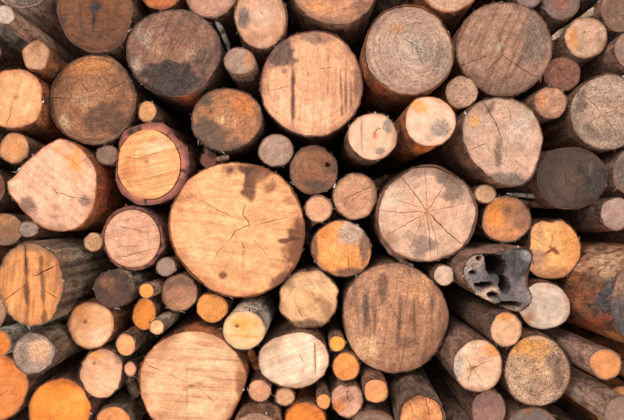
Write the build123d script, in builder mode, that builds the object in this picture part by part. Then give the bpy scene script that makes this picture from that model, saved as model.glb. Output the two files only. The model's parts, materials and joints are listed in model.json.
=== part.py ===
from build123d import *
import math
import os
import numpy as np

# A free-standing heap of round logs and poles, cross-cut to one length and stacked side by side.
# X runs along the heap, Y from the front ends to the back ends, Z up.
# The origin is on the ground under the middle of the heap.

# Driving dimensions, in millimetres
LOG_LENGTH = 2000.0
LENGTH_SPREAD = 50.0
TAPER_PER_METRE = 0.045
TAPER_SPREAD = 0.012
CLEARANCE = 0.5
CUT_SLOPE = 0.045
OUT_OF_ROUND = 0.022
HOLLOW_DEPTH = 240.0

# How the logs are laid: shares and steps of the settling, not sizes of the logs
OUTLINE_POINTS = 14
SIDES = 28
HOLD_IN_VIEW = 0.03
GROUND_ROW_HEIGHT = 120.0
SEEN_HOLD = 0.02
SETTLE_STEPS = 400
FIRST_DROP = 2.0
PARTING_STEPS = 600
SETTLE_PLANES = 5
PARTING_PLANES = 15
SETTLE_REFRESH = 15
PARTING_REFRESH = 100
REACH_OF_CONTACT = 50.0
WIDEST_OUTLINE = 1.15
PAST_THE_ENDS = 12.0
LAST_DROP = 0.02
STRAIGHTENING = 0.006
PUSH_SHARE = 1.6
EASY_HEIGHT = 800.0
EASY_SPAN = 500.0

# Outlines that aren't nearly round, in shares of half the width and half the height
TEARDROP = [
    (0.98, 0.10), (0.93, 0.42), (0.62, 0.80), (0.14, 1.02), (-0.22, 0.80), (-0.60, 0.55),
    (-0.90, 0.20), (-1.14, 0.06), (-1.05, -0.22), (-0.74, -0.58), (-0.42, -0.88), (0.10, -1.03),
    (0.55, -0.93), (0.88, -0.55),
]
DOUBLE_HEART = [
    (1.00, 0.02), (0.92, 0.42), (0.68, 0.77), (0.30, 0.95), (-0.10, 1.00), (-0.45, 0.94),
    (-0.80, 0.72), (-0.98, 0.36), (-0.90, -0.08), (-0.72, -0.42), (-0.38, -0.72), (0.00, -0.94),
    (0.38, -0.99), (0.68, -0.88), (0.88, -0.52),
]
LOBED = [
    (1.01, 0.03), (0.88, 0.42), (0.58, 0.76), (0.16, 0.98), (-0.16, 0.84), (-0.44, 0.95),
    (-0.78, 0.80), (-0.94, 0.42), (-0.92, 0.03), (-1.04, -0.35), (-0.92, -0.70), (-0.58, -0.92),
    (-0.16, -0.98), (0.18, -0.97), (0.54, -0.85), (0.76, -0.60), (0.95, -0.33),
]
TORN = [
    (0.80, 0.02), (0.90, 0.45), (1.00, 0.86), (0.70, 1.02), (0.20, 0.92), (-0.30, 0.82),
    (-0.78, 0.80), (-0.98, 0.48), (-1.02, 0.12), (-0.80, -0.25), (-0.42, -0.60), (0.04, -0.84),
    (0.50, -1.02), (0.84, -0.86), (0.94, -0.52), (0.80, -0.22),
]
ROT_HOLE = [
    (0.38, 0.10), (0.50, 0.46), (0.22, 0.62), (-0.12, 0.50), (-0.30, 0.22), (-0.12, -0.10),
    (0.16, -0.30),
]
THICK_BARKED = [
    (1.00, 0.10), (0.90, 0.42), (0.62, 0.62), (0.46, 0.88), (0.05, 1.00), (-0.42, 0.90),
    (-0.76, 0.80), (-0.92, 0.42), (-0.98, -0.05), (-1.00, -0.45), (-0.74, -0.82), (-0.42, -0.98),
    (0.10, -0.97), (0.52, -0.84), (0.80, -0.54), (0.97, -0.22),
]
FLAT_SHOULDERED = [
    (0.99, 0.20), (0.80, 0.58), (0.44, 0.87), (0.00, 0.98), (-0.42, 0.89), (-0.78, 0.64),
    (-0.98, 0.31), (-1.00, -0.04), (-0.92, -0.40), (-0.74, -0.70), (-0.38, -0.93), (0.06, -1.00),
    (0.46, -0.87), (0.72, -0.60), (0.90, -0.20),
]
FIVE_SIDED = [
    (1.00, 0.26), (0.60, 0.72), (0.10, 1.06), (-0.54, 0.70), (-0.98, 0.28), (-0.82, -0.36),
    (-0.62, -0.86), (0.00, -0.96), (0.62, -0.88), (0.86, -0.35),
]
SQUARED = [
    (1.00, 0.00), (0.96, 0.48), (0.72, 0.80), (0.36, 0.98), (-0.10, 1.00), (-0.58, 0.90),
    (-0.90, 0.60), (-1.00, 0.10), (-0.94, -0.44), (-0.70, -0.84), (-0.20, -1.00), (0.36, -0.96),
    (0.74, -0.78), (0.95, -0.44),
]
EIGHT_SIDED = [
    (1.00, 0.30), (0.72, 0.68), (0.32, 1.00), (-0.08, 0.95), (-0.42, 0.93), (-0.74, 0.62),
    (-0.98, 0.30), (-0.94, -0.10), (-0.96, -0.42), (-0.66, -0.72), (-0.36, -0.98), (0.04, -0.95),
    (0.44, -0.93), (0.72, -0.64), (0.96, -0.30), (0.93, 0.02),
]
HEART = [
    (1.00, 0.20), (0.78, 0.74), (0.34, 0.96), (0.02, 0.84), (-0.36, 0.98), (-0.82, 0.70),
    (-1.00, 0.16), (-0.86, -0.40), (-0.46, -0.84), (0.00, -1.00), (0.44, -0.86), (0.86, -0.42),
]

LOGS = []


# Writes down one log: its node, the middle, width and height of its front end, and how far it stands out
def lay(node, x, z, width, height, reach, shape=None, free=False):
    LOGS.append(dict(node=node, x=x, z=z, width=width, height=height, reach=reach, shape=shape, free=free))


# The top of the heap
lay("weathered_top_log", -878, 1593, 224, 220, 60)
lay("blue_stained_log", -681, 1491, 248, 276, 40)
lay("top_poles_a", -480, 1562, 128, 126, 0)
lay("top_poles_b", -317, 1555, 177, 172, 20)
lay("grey_stained_log", -154, 1463, 166, 201, 40)
lay("top_centre_log", 78, 1575, 286, 284, 60)
lay("ringed_grey_log", 290, 1333, 272, 269, 150)
lay("top_poles_a", 436, 1570, 188, 184, 40)
lay("cracked_tan_log", 604, 1366, 307, 292, 40)
lay("top_poles_b", 698, 1546, 83, 80, 0)
lay("top_poles_a", 800, 1530, 122, 120, 0)
lay("top_poles_b", 982, 1491, 139, 136, 20)

# The right of the heap
lay("right_poles_a", 862, 1393, 139, 138, 20)
lay("right_poles_b", 983, 1356, 104, 117, 80)
lay("right_poles_b", 816, 1309, 122, 115, 0, EIGHT_SIDED)
lay("right_poles_a", 472, 1224, 106, 104, 60)
lay("right_poles_c", 740, 1194, 105, 105, 70)
lay("star_cracked_log", 916, 1162, 236, 242, 60)
lay("double_heart_log", 562, 1054, 250, 268, 140, DOUBLE_HEART)
lay("charcoal_log", 822, 964, 220, 201, 40)
lay("right_poles_a", 917, 852, 105, 104, 120)
lay("right_poles_b", 552, 911, 69, 62, 50)
lay("right_poles_c", 624, 822, 163, 154, 0)
lay("lobed_log", 781, 733, 176, 198, 0, LOBED)
lay("hollow_log", 533, 668, 207, 184, 200, TORN)
lay("right_poles_a", 421, 660, 68, 65, 80)
lay("pale_cream_log", 734, 557, 163, 157, 40)
lay("right_poles_b", 546, 525, 95, 101, 250)
lay("right_poles_c", 835, 425, 91, 90, 230)
lay("cream_star_log", 488, 411, 146, 157, 180)
lay("orange_topped_log", 690, 375, 213, 219, 100)
lay("right_poles_a", 876, 290, 95, 94, 250)
lay("right_poles_b", 535, 259, 108, 126, 120)
lay("right_poles_c", 689, 175, 168, 155, 60)
lay("blue_banded_log", 960, 619, 299, 296, 300)

# The middle of the heap
lay("cream_white_log", 344, 1117, 153, 147, 200)
lay("lined_cream_log", 184, 1080, 148, 146, 150)
lay("two_striped_log", 3, 1261, 334, 332, 30)
lay("middle_poles_a", -215, 1312, 97, 85, 110)
lay("yellow_hearted_log", -265, 1146, 229, 201, 40)
lay("giant_log", -234, 804, 433, 426, 40)
lay("middle_poles_b", -106, 1048, 111, 108, 20)
lay("brown_mottled_log", 8, 988, 162, 155, 20)
lay("middle_poles_a", 25, 866, 88, 91, 30)
lay("middle_poles_b", 139, 905, 146, 149, 20)
lay("white_cornered_log", 98, 737, 196, 184, 20)
lay("split_star_log", 368, 841, 312, 309, 50)
lay("brown_streaked_log", 265, 517, 342, 348, 20)

# The left of the heap
lay("dark_wedge_log", -425, 1351, 292, 279, 60)
lay("speckled_brown_log", -689, 1208, 274, 284, 30)
lay("left_poles_a", -846, 1396, 56, 56, 260)
lay("left_poles_b", -836, 1326, 88, 98, 110, FIVE_SIDED)
lay("square_peach_log", -900, 1208, 178, 181, 80, SQUARED)
lay("left_poles_a", -920, 1053, 96, 102, 60)
lay("left_poles_a", -518, 1173, 63, 70, 20)
lay("thick_barked_log", -492, 1003, 233, 265, 30, THICK_BARKED)
lay("left_poles_b", -653, 1032, 70, 67, 20)
lay("teardrop_log", -784, 944, 266, 284, 70, TEARDROP)
lay("left_poles_a", -973, 800, 115, 109, 0)
lay("left_poles_b", -878, 802, 68, 50, 60)
lay("tall_oval_log", -804, 648, 193, 256, 200)
lay("left_poles_c", -686, 760, 63, 63, 30)
lay("pink_barked_log", -558, 761, 194, 207, 40)
lay("left_poles_a", -466, 688, 63, 63, 20)
lay("left_poles_a", -613, 612, 120, 117, 80)
lay("left_poles_b", -489, 615, 46, 49, 100)
lay("left_poles_c", -420, 597, 121, 121, 10)
lay("left_poles_d", -318, 552, 106, 99, 0)
lay("left_poles_d", -333, 1019, 59, 59, -60)
lay("left_poles_c", -1046, 1370, 115, 112, 0)
lay("left_poles_d", -1045, 934, 152, 148, 20)

# The foot of the heap
lay("bottom_poles_a", 314, 238, 146, 175, 180)
lay("bottom_poles_b", 199, 323, 75, 75, 120, SQUARED)
lay("bottom_poles_a", 115, 268, 106, 109, 60, HEART)
lay("bottom_poles_c", 110, 369, 91, 94, 40)
lay("bottom_poles_a", 82, 447, 53, 53, 60)
lay("bottom_poles_b", 38, 285, 45, 48, 120)
lay("bottom_poles_c", -22, 209, 130, 128, 60)
lay("bottom_poles_b", -75, 274, 69, 63, 40)
lay("bottom_poles_a", -157, 304, 74, 74, 70)
lay("cream_oval_log", -53, 395, 223, 180, 60)
lay("octagonal_log", -8, 569, 193, 193, 20, EIGHT_SIDED)
lay("birch_log", -195, 512, 122, 119, 180)
lay("saw_lined_log", -366, 329, 332, 332, 80, FLAT_SHOULDERED)
lay("bottom_poles_d", -461, 511, 48, 48, 130)
lay("bottom_poles_e", -527, 531, 79, 108, 20)
lay("bottom_poles_d", -559, 456, 64, 70, 110)
lay("bottom_poles_e", -676, 509, 142, 154, 70)
lay("rough_barked_log", -652, 355, 143, 155, 60)
lay("bottom_poles_e", -559, 370, 40, 53, 60)
lay("mossy_log", -815, 440, 132, 127, 160)
lay("bottom_poles_e", -953, 458, 76, 83, 90)
lay("salmon_log", -994, 306, 220, 220, 40)
lay("bright_orange_log", -774, 246, 202, 192, 60)
lay("bottom_poles_d", -618, 193, 119, 118, 40)
lay("bottom_poles_d", -163, 207, 148, 118, 150)
lay("bottom_poles_c", 199, 175, 155, 149, 60)
lay("middle_poles_b", 1024, 982, 174, 170, 60)

# The row on the ground and the sloping sides, which lie free
lay("outer_logs_a", -1014, 96, 180, 176, 30, free=True)
lay("outer_logs_b", -880, 70, 120, 118, 60, free=True)
lay("outer_logs_c", -740, 64, 120, 116, 10, free=True)
lay("outer_logs_a", -590, 70, 116, 114, 80, free=True)
lay("outer_logs_b", -460, 62, 124, 120, 40, free=True)
lay("outer_logs_c", -325, 66, 132, 128, 0, free=True)
lay("outer_logs_a", -190, 62, 116, 112, 60, free=True)
lay("outer_logs_b", -60, 60, 118, 118, 20, free=True)
lay("outer_logs_c", 90, 72, 144, 140, 90, free=True)
lay("outer_logs_a", 235, 50, 98, 96, 20, free=True)
lay("outer_logs_b", 370, 76, 146, 150, 50, free=True)
lay("outer_logs_c", 530, 88, 162, 168, 10, free=True)
lay("outer_logs_a", 690, 48, 94, 92, 70, free=True)
lay("outer_logs_b", 850, 86, 168, 166, 30, free=True)
lay("outer_logs_c", 1030, 84, 166, 164, 100, free=True)

# The slope at the left end, which lies free too
lay("outer_logs_d", -1190, 98, 186, 182, 20, free=True)
lay("outer_logs_b", -1388, 106, 206, 202, 60, free=True)
lay("outer_logs_a", -1600, 108, 212, 208, -30, free=True)
lay("outer_logs_d", -1806, 94, 184, 180, 40, free=True)
lay("outer_logs_e", -1196, 266, 172, 168, 70, free=True)
lay("outer_logs_c", -1392, 292, 206, 202, 0, free=True)
lay("outer_logs_b", -1600, 282, 188, 184, 50, free=True)
lay("outer_logs_b", -1076, 466, 158, 154, 10, free=True)
lay("outer_logs_a", -1262, 456, 196, 192, 40, free=True)
lay("outer_logs_d", -1470, 472, 204, 200, 90, free=True)
lay("outer_logs_e", -1002, 628, 176, 172, 50, free=True)
lay("outer_logs_c", -1186, 636, 180, 176, 0, free=True)
lay("outer_logs_e", -1372, 652, 190, 186, 30, free=True)
lay("outer_logs_a", -1112, 796, 156, 152, 90, free=True)
lay("outer_logs_b", -1278, 818, 168, 164, 20, free=True)
lay("outer_logs_d", -1216, 968, 172, 168, 50, free=True)
lay("outer_logs_a", -1040, 1086, 120, 116, 30, free=True)
lay("outer_logs_e", -1164, 1122, 150, 146, 80, free=True)
lay("outer_logs_b", -1084, 1240, 166, 162, 10, free=True)
lay("outer_logs_d", -1026, 1500, 120, 116, 60, free=True)

# The slope at the right end
lay("outer_logs_d", 1290, 100, 200, 196, 10, free=True)
lay("outer_logs_a", 1500, 96, 188, 184, 60, free=True)
lay("outer_logs_b", 1712, 100, 196, 192, 20, free=True)
lay("outer_logs_d", 1008, 266, 166, 162, 40, free=True)
lay("outer_logs_e", 1194, 272, 190, 186, 0, free=True)
lay("outer_logs_c", 1396, 286, 204, 200, 80, free=True)
lay("outer_logs_e", 1600, 276, 176, 172, 30, free=True)
lay("outer_logs_b", 1030, 414, 118, 114, 60, free=True)
lay("outer_logs_a", 1170, 452, 158, 154, 20, free=True)
lay("outer_logs_b", 1322, 474, 172, 168, 50, free=True)
lay("outer_logs_d", 1494, 464, 178, 174, -20, free=True)
lay("outer_logs_c", 1216, 630, 186, 182, 60, free=True)
lay("outer_logs_e", 1396, 648, 174, 170, 10, free=True)
lay("outer_logs_a", 1066, 828, 140, 136, 40, free=True)
lay("outer_logs_d", 1216, 820, 172, 168, 70, free=True)
lay("outer_logs_e", 1206, 986, 158, 154, 20, free=True)
lay("outer_logs_b", 1122, 1122, 150, 146, 50, free=True)
lay("outer_logs_a", 1104, 1288, 160, 156, 20, free=True)

# The logs that lie on top of the heap, in the hollows between the ones below
lay("outer_logs_e", -1066, 1650, 150, 146, 40, free=True)
lay("outer_logs_d", -775, 1745, 170, 166, 20, free=True)
lay("outer_logs_e", -570, 1715, 176, 172, 70, free=True)
lay("outer_logs_d", -392, 1725, 156, 152, 10, free=True)
lay("outer_logs_e", -190, 1705, 196, 192, 50, free=True)
lay("outer_logs_c", 238, 1745, 168, 164, 30, free=True)
lay("outer_logs_e", 566, 1722, 190, 186, 60, free=True)
lay("outer_logs_d", 748, 1665, 138, 134, 0, free=True)
lay("outer_logs_e", 906, 1650, 168, 164, 40, free=True)
lay("outer_logs_d", 1092, 1500, 150, 146, 80, free=True)
COUNT = len(LOGS)


# A closed outline of half size 1 for one log, out of round in its own way
def rough_outline(number, shape):
    if shape:
        return np.array(shape)
    turn = np.arange(OUTLINE_POINTS) * 2 * math.pi / OUTLINE_POINTS
    bulge = np.ones(OUTLINE_POINTS)
    for waves in (2, 3, 5):
        bulge += OUT_OF_ROUND / math.sqrt(waves - 1) * np.sin(waves * turn + number * (1.7 + waves))
    return np.column_stack((bulge * np.cos(turn), bulge * np.sin(turn)))


# The same outline rounded through its points, as an even ring of short flats
def rounded(points):
    for repeat in range(2):
        before, after, beyond = np.roll(points, 1, 0), np.roll(points, -1, 0), np.roll(points, -2, 0)
        between = (9 * (points + after) - before - beyond) / 16
        points = np.stack((points, between), axis=1).reshape(-1, 2)
    closed = np.vstack((points, points[:1]))
    walked = np.concatenate(([0], np.cumsum(np.hypot(*np.diff(closed, axis=0).T))))
    even = np.arange(SIDES) * walked[-1] / SIDES
    return np.column_stack((np.interp(even, walked, closed[:, 0]), np.interp(even, walked, closed[:, 1])))


# The front and back of every log, and its taper
outlines = np.array([
    rounded(rough_outline(number, log["shape"]) * (log["width"] / 2, log["height"] / 2))
    for number, log in enumerate(LOGS)
])
sides = np.roll(outlines, -1, axis=1) - outlines
normals = np.stack((sides[:, :, 1], -sides[:, :, 0]), axis=2)
normals /= np.hypot(sides[:, :, 0], sides[:, :, 1])[:, :, None]
half_width = np.abs(outlines).max(axis=(1, 2))
front_y = np.array([-float(log["reach"]) for log in LOGS])
wobble = np.array([math.sin(2.4 * number) for number in range(COUNT)])
length = LOG_LENGTH + LENGTH_SPREAD * wobble
taper_wobble = np.array([math.cos(1.9 * number) for number in range(COUNT)])
taper = (TAPER_PER_METRE + TAPER_SPREAD * taper_wobble) / 1000
seen = np.array([[log["x"], log["z"]] for log in LOGS], dtype=float)
free = np.array([log["free"] for log in LOGS])
front = seen.copy()
back = seen.copy()


# The pairs of logs that are near each other, and how far each reaches along the normals of both
def neighbours():
    first, second = np.triu_indices(COUNT, 1)
    apart = front[first] - front[second]
    change = back[first] - back[second] - apart
    closest = np.clip(-(apart * change).sum(axis=1) / ((change ** 2).sum(axis=1) + 1e-9), 0, 1)
    gap = np.hypot(*(apart + change * closest[:, None]).T)
    gap -= WIDEST_OUTLINE * (half_width[first] + half_width[second])
    first, second = first[gap < REACH_OF_CONTACT], second[gap < REACH_OF_CONTACT]
    headings = np.concatenate((normals[first], -normals[second]), axis=1)
    reach_first = np.einsum("psk,phk->phs", outlines[first], headings).max(axis=2)
    reach_second = np.einsum("psk,phk->phs", outlines[second], -headings).max(axis=2)
    start = np.maximum(front_y[first], front_y[second]) - PAST_THE_ENDS
    stop = np.minimum(front_y[first] + length[first], front_y[second] + length[second]) + PAST_THE_ENDS
    return first, second, headings, reach_first, reach_second, start, stop


# Gap and direction between the pairs where one plane cuts across them, a share of the way back
def gaps(pairs, share):
    first, second, headings, reach_first, reach_second, start, stop = pairs
    y = start + (stop - start) * share
    share_first = (y - front_y[first]) / length[first]
    share_second = (y - front_y[second]) / length[second]
    apart = front[second] + (back[second] - front[second]) * share_second[:, None]
    apart -= front[first] + (back[first] - front[first]) * share_first[:, None]
    room = np.einsum("pk,phk->ph", apart, headings)
    room -= reach_first * (1 + taper[first] * (y - front_y[first]))[:, None]
    room -= reach_second * (1 + taper[second] * (y - front_y[second]))[:, None]
    best = room.argmax(axis=1)
    rows = np.arange(len(first))
    return room[rows, best], headings[rows, best], share_first, share_second


# One round of pushing apart whatever is too close; logs low down move least, those in view hardly
def push_apart(pairs, planes):
    moves_front, moves_back, count = np.zeros((COUNT, 2)), np.zeros((COUNT, 2)), np.zeros(COUNT)
    ease = np.exp((front[:, 1] - EASY_HEIGHT) / EASY_SPAN)
    ease_front = np.where(free, 1.0, HOLD_IN_VIEW) * ease
    for share in np.linspace(0, 1, planes):
        gap, heading, share_first, share_second = gaps(pairs, share)
        close = gap < CLEARANCE
        first, second, heading = pairs[0][close], pairs[1][close], heading[close]
        share_first, share_second, short = share_first[close], share_second[close], CLEARANCE - gap[close]
        give = ease_front[first] * (1 - share_first) ** 2 + ease[first] * share_first ** 2
        give += ease_front[second] * (1 - share_second) ** 2 + ease[second] * share_second ** 2
        push = (short / (give + 1e-12))[:, None] * heading
        for log, along, sign in ((first, share_first, -1), (second, share_second, 1)):
            np.add.at(moves_front, log, sign * push * (ease_front[log] * (1 - along))[:, None])
            np.add.at(moves_back, log, sign * push * (ease[log] * along)[:, None])
            np.add.at(count, log, 1)
    relief = PUSH_SHARE / np.maximum(count, PUSH_SHARE)
    front[:] += moves_front * relief[:, None]
    back[:] += moves_back * relief[:, None]
    lowest = outlines[:, :, 1].min(axis=1)
    front[:, 1] = np.maximum(front[:, 1], -lowest)
    back[:, 1] = np.maximum(back[:, 1], -lowest * (1 + taper * length))


# The logs settle: free ones drop at both ends, the others at their back ends only
ground_row = seen[:, 1] < GROUND_ROW_HEIGHT
for step in range(SETTLE_STEPS):
    if step % SETTLE_REFRESH == 0:
        pairs = neighbours()
    drop = FIRST_DROP * (1 - step / SETTLE_STEPS) + LAST_DROP
    back[:, 1] -= drop
    front[free, 1] -= drop
    back[:, 0] += (front[:, 0] - back[:, 0]) * STRAIGHTENING
    front[~free] += (seen[~free] - front[~free]) * SEEN_HOLD
    front[ground_row, 0] = seen[ground_row, 0]
    for turn in range(2):
        push_apart(pairs, SETTLE_PLANES)
for step in range(PARTING_STEPS):
    if step % PARTING_REFRESH == 0:
        pairs = neighbours()
    back[:, 1] -= LAST_DROP * max(0, 1 - 2 * step / PARTING_STEPS)
    push_apart(pairs, PARTING_PLANES)


# The plane that an end is cut on; only the front end of the largest log is cut dead square
BUTT = [log["node"] for log in LOGS].index("giant_log")


def cut_plane(number, at_back):
    centre = back[number] if at_back else front[number]
    slope_x = CUT_SLOPE * math.sin(5.3 * number + at_back)
    slope_z = CUT_SLOPE * math.cos(3.7 * number + 2 * at_back)
    if number == BUTT and not at_back:
        slope_x = 0.0
        slope_z = 0.0
    y = front_y[number] + at_back * length[number]
    facing = 1 if at_back else -1
    return Plane(
        origin=(centre[0], y, centre[1]),
        x_dir=(1, slope_x, 0),
        z_dir=(-facing * slope_x, facing, -facing * slope_z),
    )


# The points where a cut plane meets the long edges of a log's sides
def cut_points(number, at_back):
    plane = cut_plane(number, at_back)
    spots = []
    for x, z in outlines[number]:
        share = at_back
        for repeat in range(3):
            size = 1 + taper[number] * length[number] * share
            at = front[number] + (back[number] - front[number]) * share
            spot = Vector(at[0] + size * x, front_y[number] + length[number] * share, at[1] + size * z)
            beyond = (plane.origin - spot).dot(plane.z_dir) / plane.z_dir.Y
            share += beyond / length[number]
        spots.append(spot)
    return spots


# The origin is put on the ground under the middle of the whole heap
both_ends = [cut_points(number, at_back) for number in range(COUNT) for at_back in (0, 1)]
corners = np.array([tuple(spot) for spots in both_ends for spot in spots])
middle = (corners.min(axis=0) + corners.max(axis=0)) / 2
ground = corners[:, 2].min()
front -= (middle[0], ground)
back -= (middle[0], ground)
front_y -= middle[1]

# One node for each name, with its logs apart from each other in it
os.makedirs("parts", exist_ok=True)
for name in dict.fromkeys(log["node"] for log in LOGS):
    with BuildPart() as timber:
        for number in [place for place, log in enumerate(LOGS) if log["node"] == name]:
            for at_back in (0, 1):
                end = cut_plane(number, at_back)
                with BuildSketch(end):
                    with BuildLine():
                        spots = [end.to_local_coords(spot) for spot in cut_points(number, at_back)]
                        Polyline(*[(spot.X, spot.Y) for spot in spots], close=True)
                    make_face()
            loft(ruled=True)
            if name == "hollow_log":
                rot = rounded(np.array(ROT_HOLE) * (LOGS[number]["width"] / 2, LOGS[number]["height"] / 2))
                with BuildSketch(cut_plane(number, 0)):
                    with BuildLine():
                        Polyline(*[tuple(point) for point in rot], close=True)
                    make_face()
                extrude(amount=-HOLLOW_DEPTH, mode=Mode.SUBTRACT)
    timber.part.label = name
    export_step(timber.part, f"parts/{name}.step")
print("butt face of the largest log", round(front[BUTT, 0], 2), round(front_y[BUTT], 2), round(front[BUTT, 1], 2))
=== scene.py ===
import json
import math
import bpy
import numpy as np
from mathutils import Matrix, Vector
from mathutils.geometry import delaunay_2d_cdt


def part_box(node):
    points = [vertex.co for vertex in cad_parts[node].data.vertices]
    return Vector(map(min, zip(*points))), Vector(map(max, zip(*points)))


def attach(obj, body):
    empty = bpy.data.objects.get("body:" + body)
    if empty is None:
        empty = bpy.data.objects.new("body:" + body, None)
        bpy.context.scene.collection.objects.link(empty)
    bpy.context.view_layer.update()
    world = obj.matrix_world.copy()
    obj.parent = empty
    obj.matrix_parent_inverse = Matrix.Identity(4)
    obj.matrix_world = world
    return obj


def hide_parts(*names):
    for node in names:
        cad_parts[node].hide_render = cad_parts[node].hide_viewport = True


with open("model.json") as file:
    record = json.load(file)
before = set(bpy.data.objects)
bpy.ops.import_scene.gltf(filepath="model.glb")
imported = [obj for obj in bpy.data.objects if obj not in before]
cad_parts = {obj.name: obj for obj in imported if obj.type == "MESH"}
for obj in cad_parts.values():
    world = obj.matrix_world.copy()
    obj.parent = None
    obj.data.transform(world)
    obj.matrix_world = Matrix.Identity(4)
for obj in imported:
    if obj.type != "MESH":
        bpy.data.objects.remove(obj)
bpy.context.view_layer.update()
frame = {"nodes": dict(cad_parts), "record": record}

# The viewpoint. The stack is faced square on from two metres, at the height of its middle,
# so the largest log's butt lies a little left of the picture's centre.
VIEW_DISTANCE = 2.0
PICTURE_WIDE, PICTURE_HIGH = 624, 420
METRES_PER_PIXEL = 0.0032
BUTT_SEEN = (237.5, 229.0)
BUTT_BEHIND = 0.04
SENSOR_WIDE = 36.0
butt_low, butt_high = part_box("giant_log")
face_plane = butt_low.y + BUTT_BEHIND
butt_at = Vector(frame["record"]["mounts"][0]["pos_m"])
shrink = 1 - BUTT_BEHIND / VIEW_DISTANCE
eye = Vector((
    butt_at.x - (BUTT_SEEN[0] - PICTURE_WIDE / 2) * METRES_PER_PIXEL * shrink,
    face_plane - VIEW_DISTANCE,
    butt_at.z + (BUTT_SEEN[1] - PICTURE_HIGH / 2) * METRES_PER_PIXEL * shrink,
))
lens = bpy.data.cameras.new("viewer")
lens.sensor_width = SENSOR_WIDE
lens.lens = SENSOR_WIDE * VIEW_DISTANCE / (PICTURE_WIDE * METRES_PER_PIXEL)
lens.clip_end = 60.0
viewer = bpy.data.objects.new("viewer", lens)
viewer.location = eye
viewer.rotation_euler = (math.radians(90), 0, 0)
bpy.context.scene.collection.objects.link(viewer)
bpy.context.scene.camera = viewer

# The studio. One broad lamp above and left of the viewer, weaker ones in front and at the right, and one
# behind the heap, with a plain pale world and a pale level floor that the heap stands on.
bpy.context.scene.view_settings.view_transform = "Standard"


def soft_lamp(name, place, aim, size, watts):
    data = bpy.data.lights.new(name, "AREA")
    data.shape = "RECTANGLE"
    data.size, data.size_y = size
    data.energy = watts
    lamp = bpy.data.objects.new(name, data)
    lamp.location = place
    lamp.rotation_euler = (Vector(aim) - Vector(place)).to_track_quat("-Z", "Y").to_euler()
    bpy.context.scene.collection.objects.link(lamp)


soft_lamp("key_lamp", place=(-2.0, -4.8, 3.8), aim=(0, -0.6, 0.9), size=(2.4, 1.8), watts=172)
soft_lamp("fill_lamp", place=(3.2, -4.6, 2.0), aim=(0, -0.6, 0.8), size=(2.8, 2.4), watts=80)
soft_lamp("front_lamp", place=(-0.4, -5.6, 1.4), aim=(0, -0.8, 0.9), size=(3.0, 2.2), watts=80)
soft_lamp("back_lamp", place=(1.0, 6.4, 5.2), aim=(0, 0.6, 0.6), size=(5.0, 4.0), watts=210)

SKY_LIGHT = 0.56
BACKDROP_GREY = 0.86
world = bpy.data.worlds.new("pale_room")
bpy.context.scene.world = world
world.use_nodes = True
room = world.node_tree.nodes
room.clear()
sky = room.new("ShaderNodeBackground")
sky.inputs["Color"].default_value = (1.0, 1.0, 1.0, 1.0)
sky.inputs["Strength"].default_value = SKY_LIGHT
backdrop = room.new("ShaderNodeBackground")
backdrop.inputs["Color"].default_value = (BACKDROP_GREY, BACKDROP_GREY, BACKDROP_GREY, 1.0)
backdrop.inputs["Strength"].default_value = 1.0
ray = room.new("ShaderNodeLightPath")
choose = room.new("ShaderNodeMixShader")
out = room.new("ShaderNodeOutputWorld")
world.node_tree.links.new(ray.outputs["Is Camera Ray"], choose.inputs[0])
world.node_tree.links.new(sky.outputs[0], choose.inputs[1])
world.node_tree.links.new(backdrop.outputs[0], choose.inputs[2])
world.node_tree.links.new(choose.outputs[0], out.inputs["Surface"])

FLOOR_HALF = 14.0
floor_mesh = bpy.data.meshes.new("floor")
corners = [(x * FLOOR_HALF, y * FLOOR_HALF, 0) for x, y in ((-1, -1), (1, -1), (1, 1), (-1, 1))]
floor_mesh.from_pydata(corners, [], [(0, 1, 2, 3)])
floor = bpy.data.objects.new("floor", floor_mesh)
bpy.context.scene.collection.objects.link(floor)
floor_paint = bpy.data.materials.new("pale_floor")
floor_paint.use_nodes = True
floor_paint.node_tree.nodes["Principled BSDF"].inputs["Base Color"].default_value = (0.72, 0.72, 0.71, 1)
floor_paint.node_tree.nodes["Principled BSDF"].inputs["Roughness"].default_value = 0.9
floor_mesh.materials.append(floor_paint)

# The largest log, a sawn pine butt of about 430 mm, cut with a chain saw and laid on the logs below it with
# its bark on. All the logs are made as it is, from their place in the frame: a face of end grain with its
# drying cracks and stains, and a skin of bark from end to end.


# Smooth noise from 0 to 1 on a lattice, the same each time for the same seed
def noise(points, size, seed):
    at = points / size + (seed * 7.31 + 31.7)
    cell = np.floor(at).astype(np.int64)
    part = at - cell
    part = part * part * (3 - 2 * part)
    total = np.zeros(len(points))
    for corner in range(8):
        step = np.array([corner & 1, corner >> 1 & 1, corner >> 2])
        spot = cell + step
        key = spot[:, 0] * 374761393 + spot[:, 1] * 668265263 + spot[:, 2] * 1274126177 + int(seed) * 97531
        key = (key ^ (key >> 13)) * 1103515245
        key = (key ^ (key >> 16)) & 65535
        weight = np.prod(np.where(step, part, 1 - part), axis=1)
        total += weight * key / 65535
    return total


def layered(points, size, seed, layers=3):
    total, share, whole = 0.0, 1.0, 0.0
    for layer in range(layers):
        total = total + share * noise(points, size / 2 ** layer, seed + layer)
        whole += share
        share *= 0.5
    return total / whole


def flat_noise(points, size, seed):
    return noise(np.column_stack((points, points[:, 0] * 0)), size, seed)


def round_noise(turn, size, seed, radius=1.0):
    return noise(np.column_stack((np.cos(turn), np.sin(turn), turn * 0)) * radius, size, seed)


# Colours are written as they look, and used as the renderer counts them
def linear(colour):
    shade = np.asarray(colour, float) / 255
    return np.where(shade <= 0.04045, shade / 12.92, ((shade + 0.055) / 1.055) ** 2.4)


def blend(one, two, share):
    share = np.asarray(share)[:, None]
    return one * (1 - share) + two * share


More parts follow.
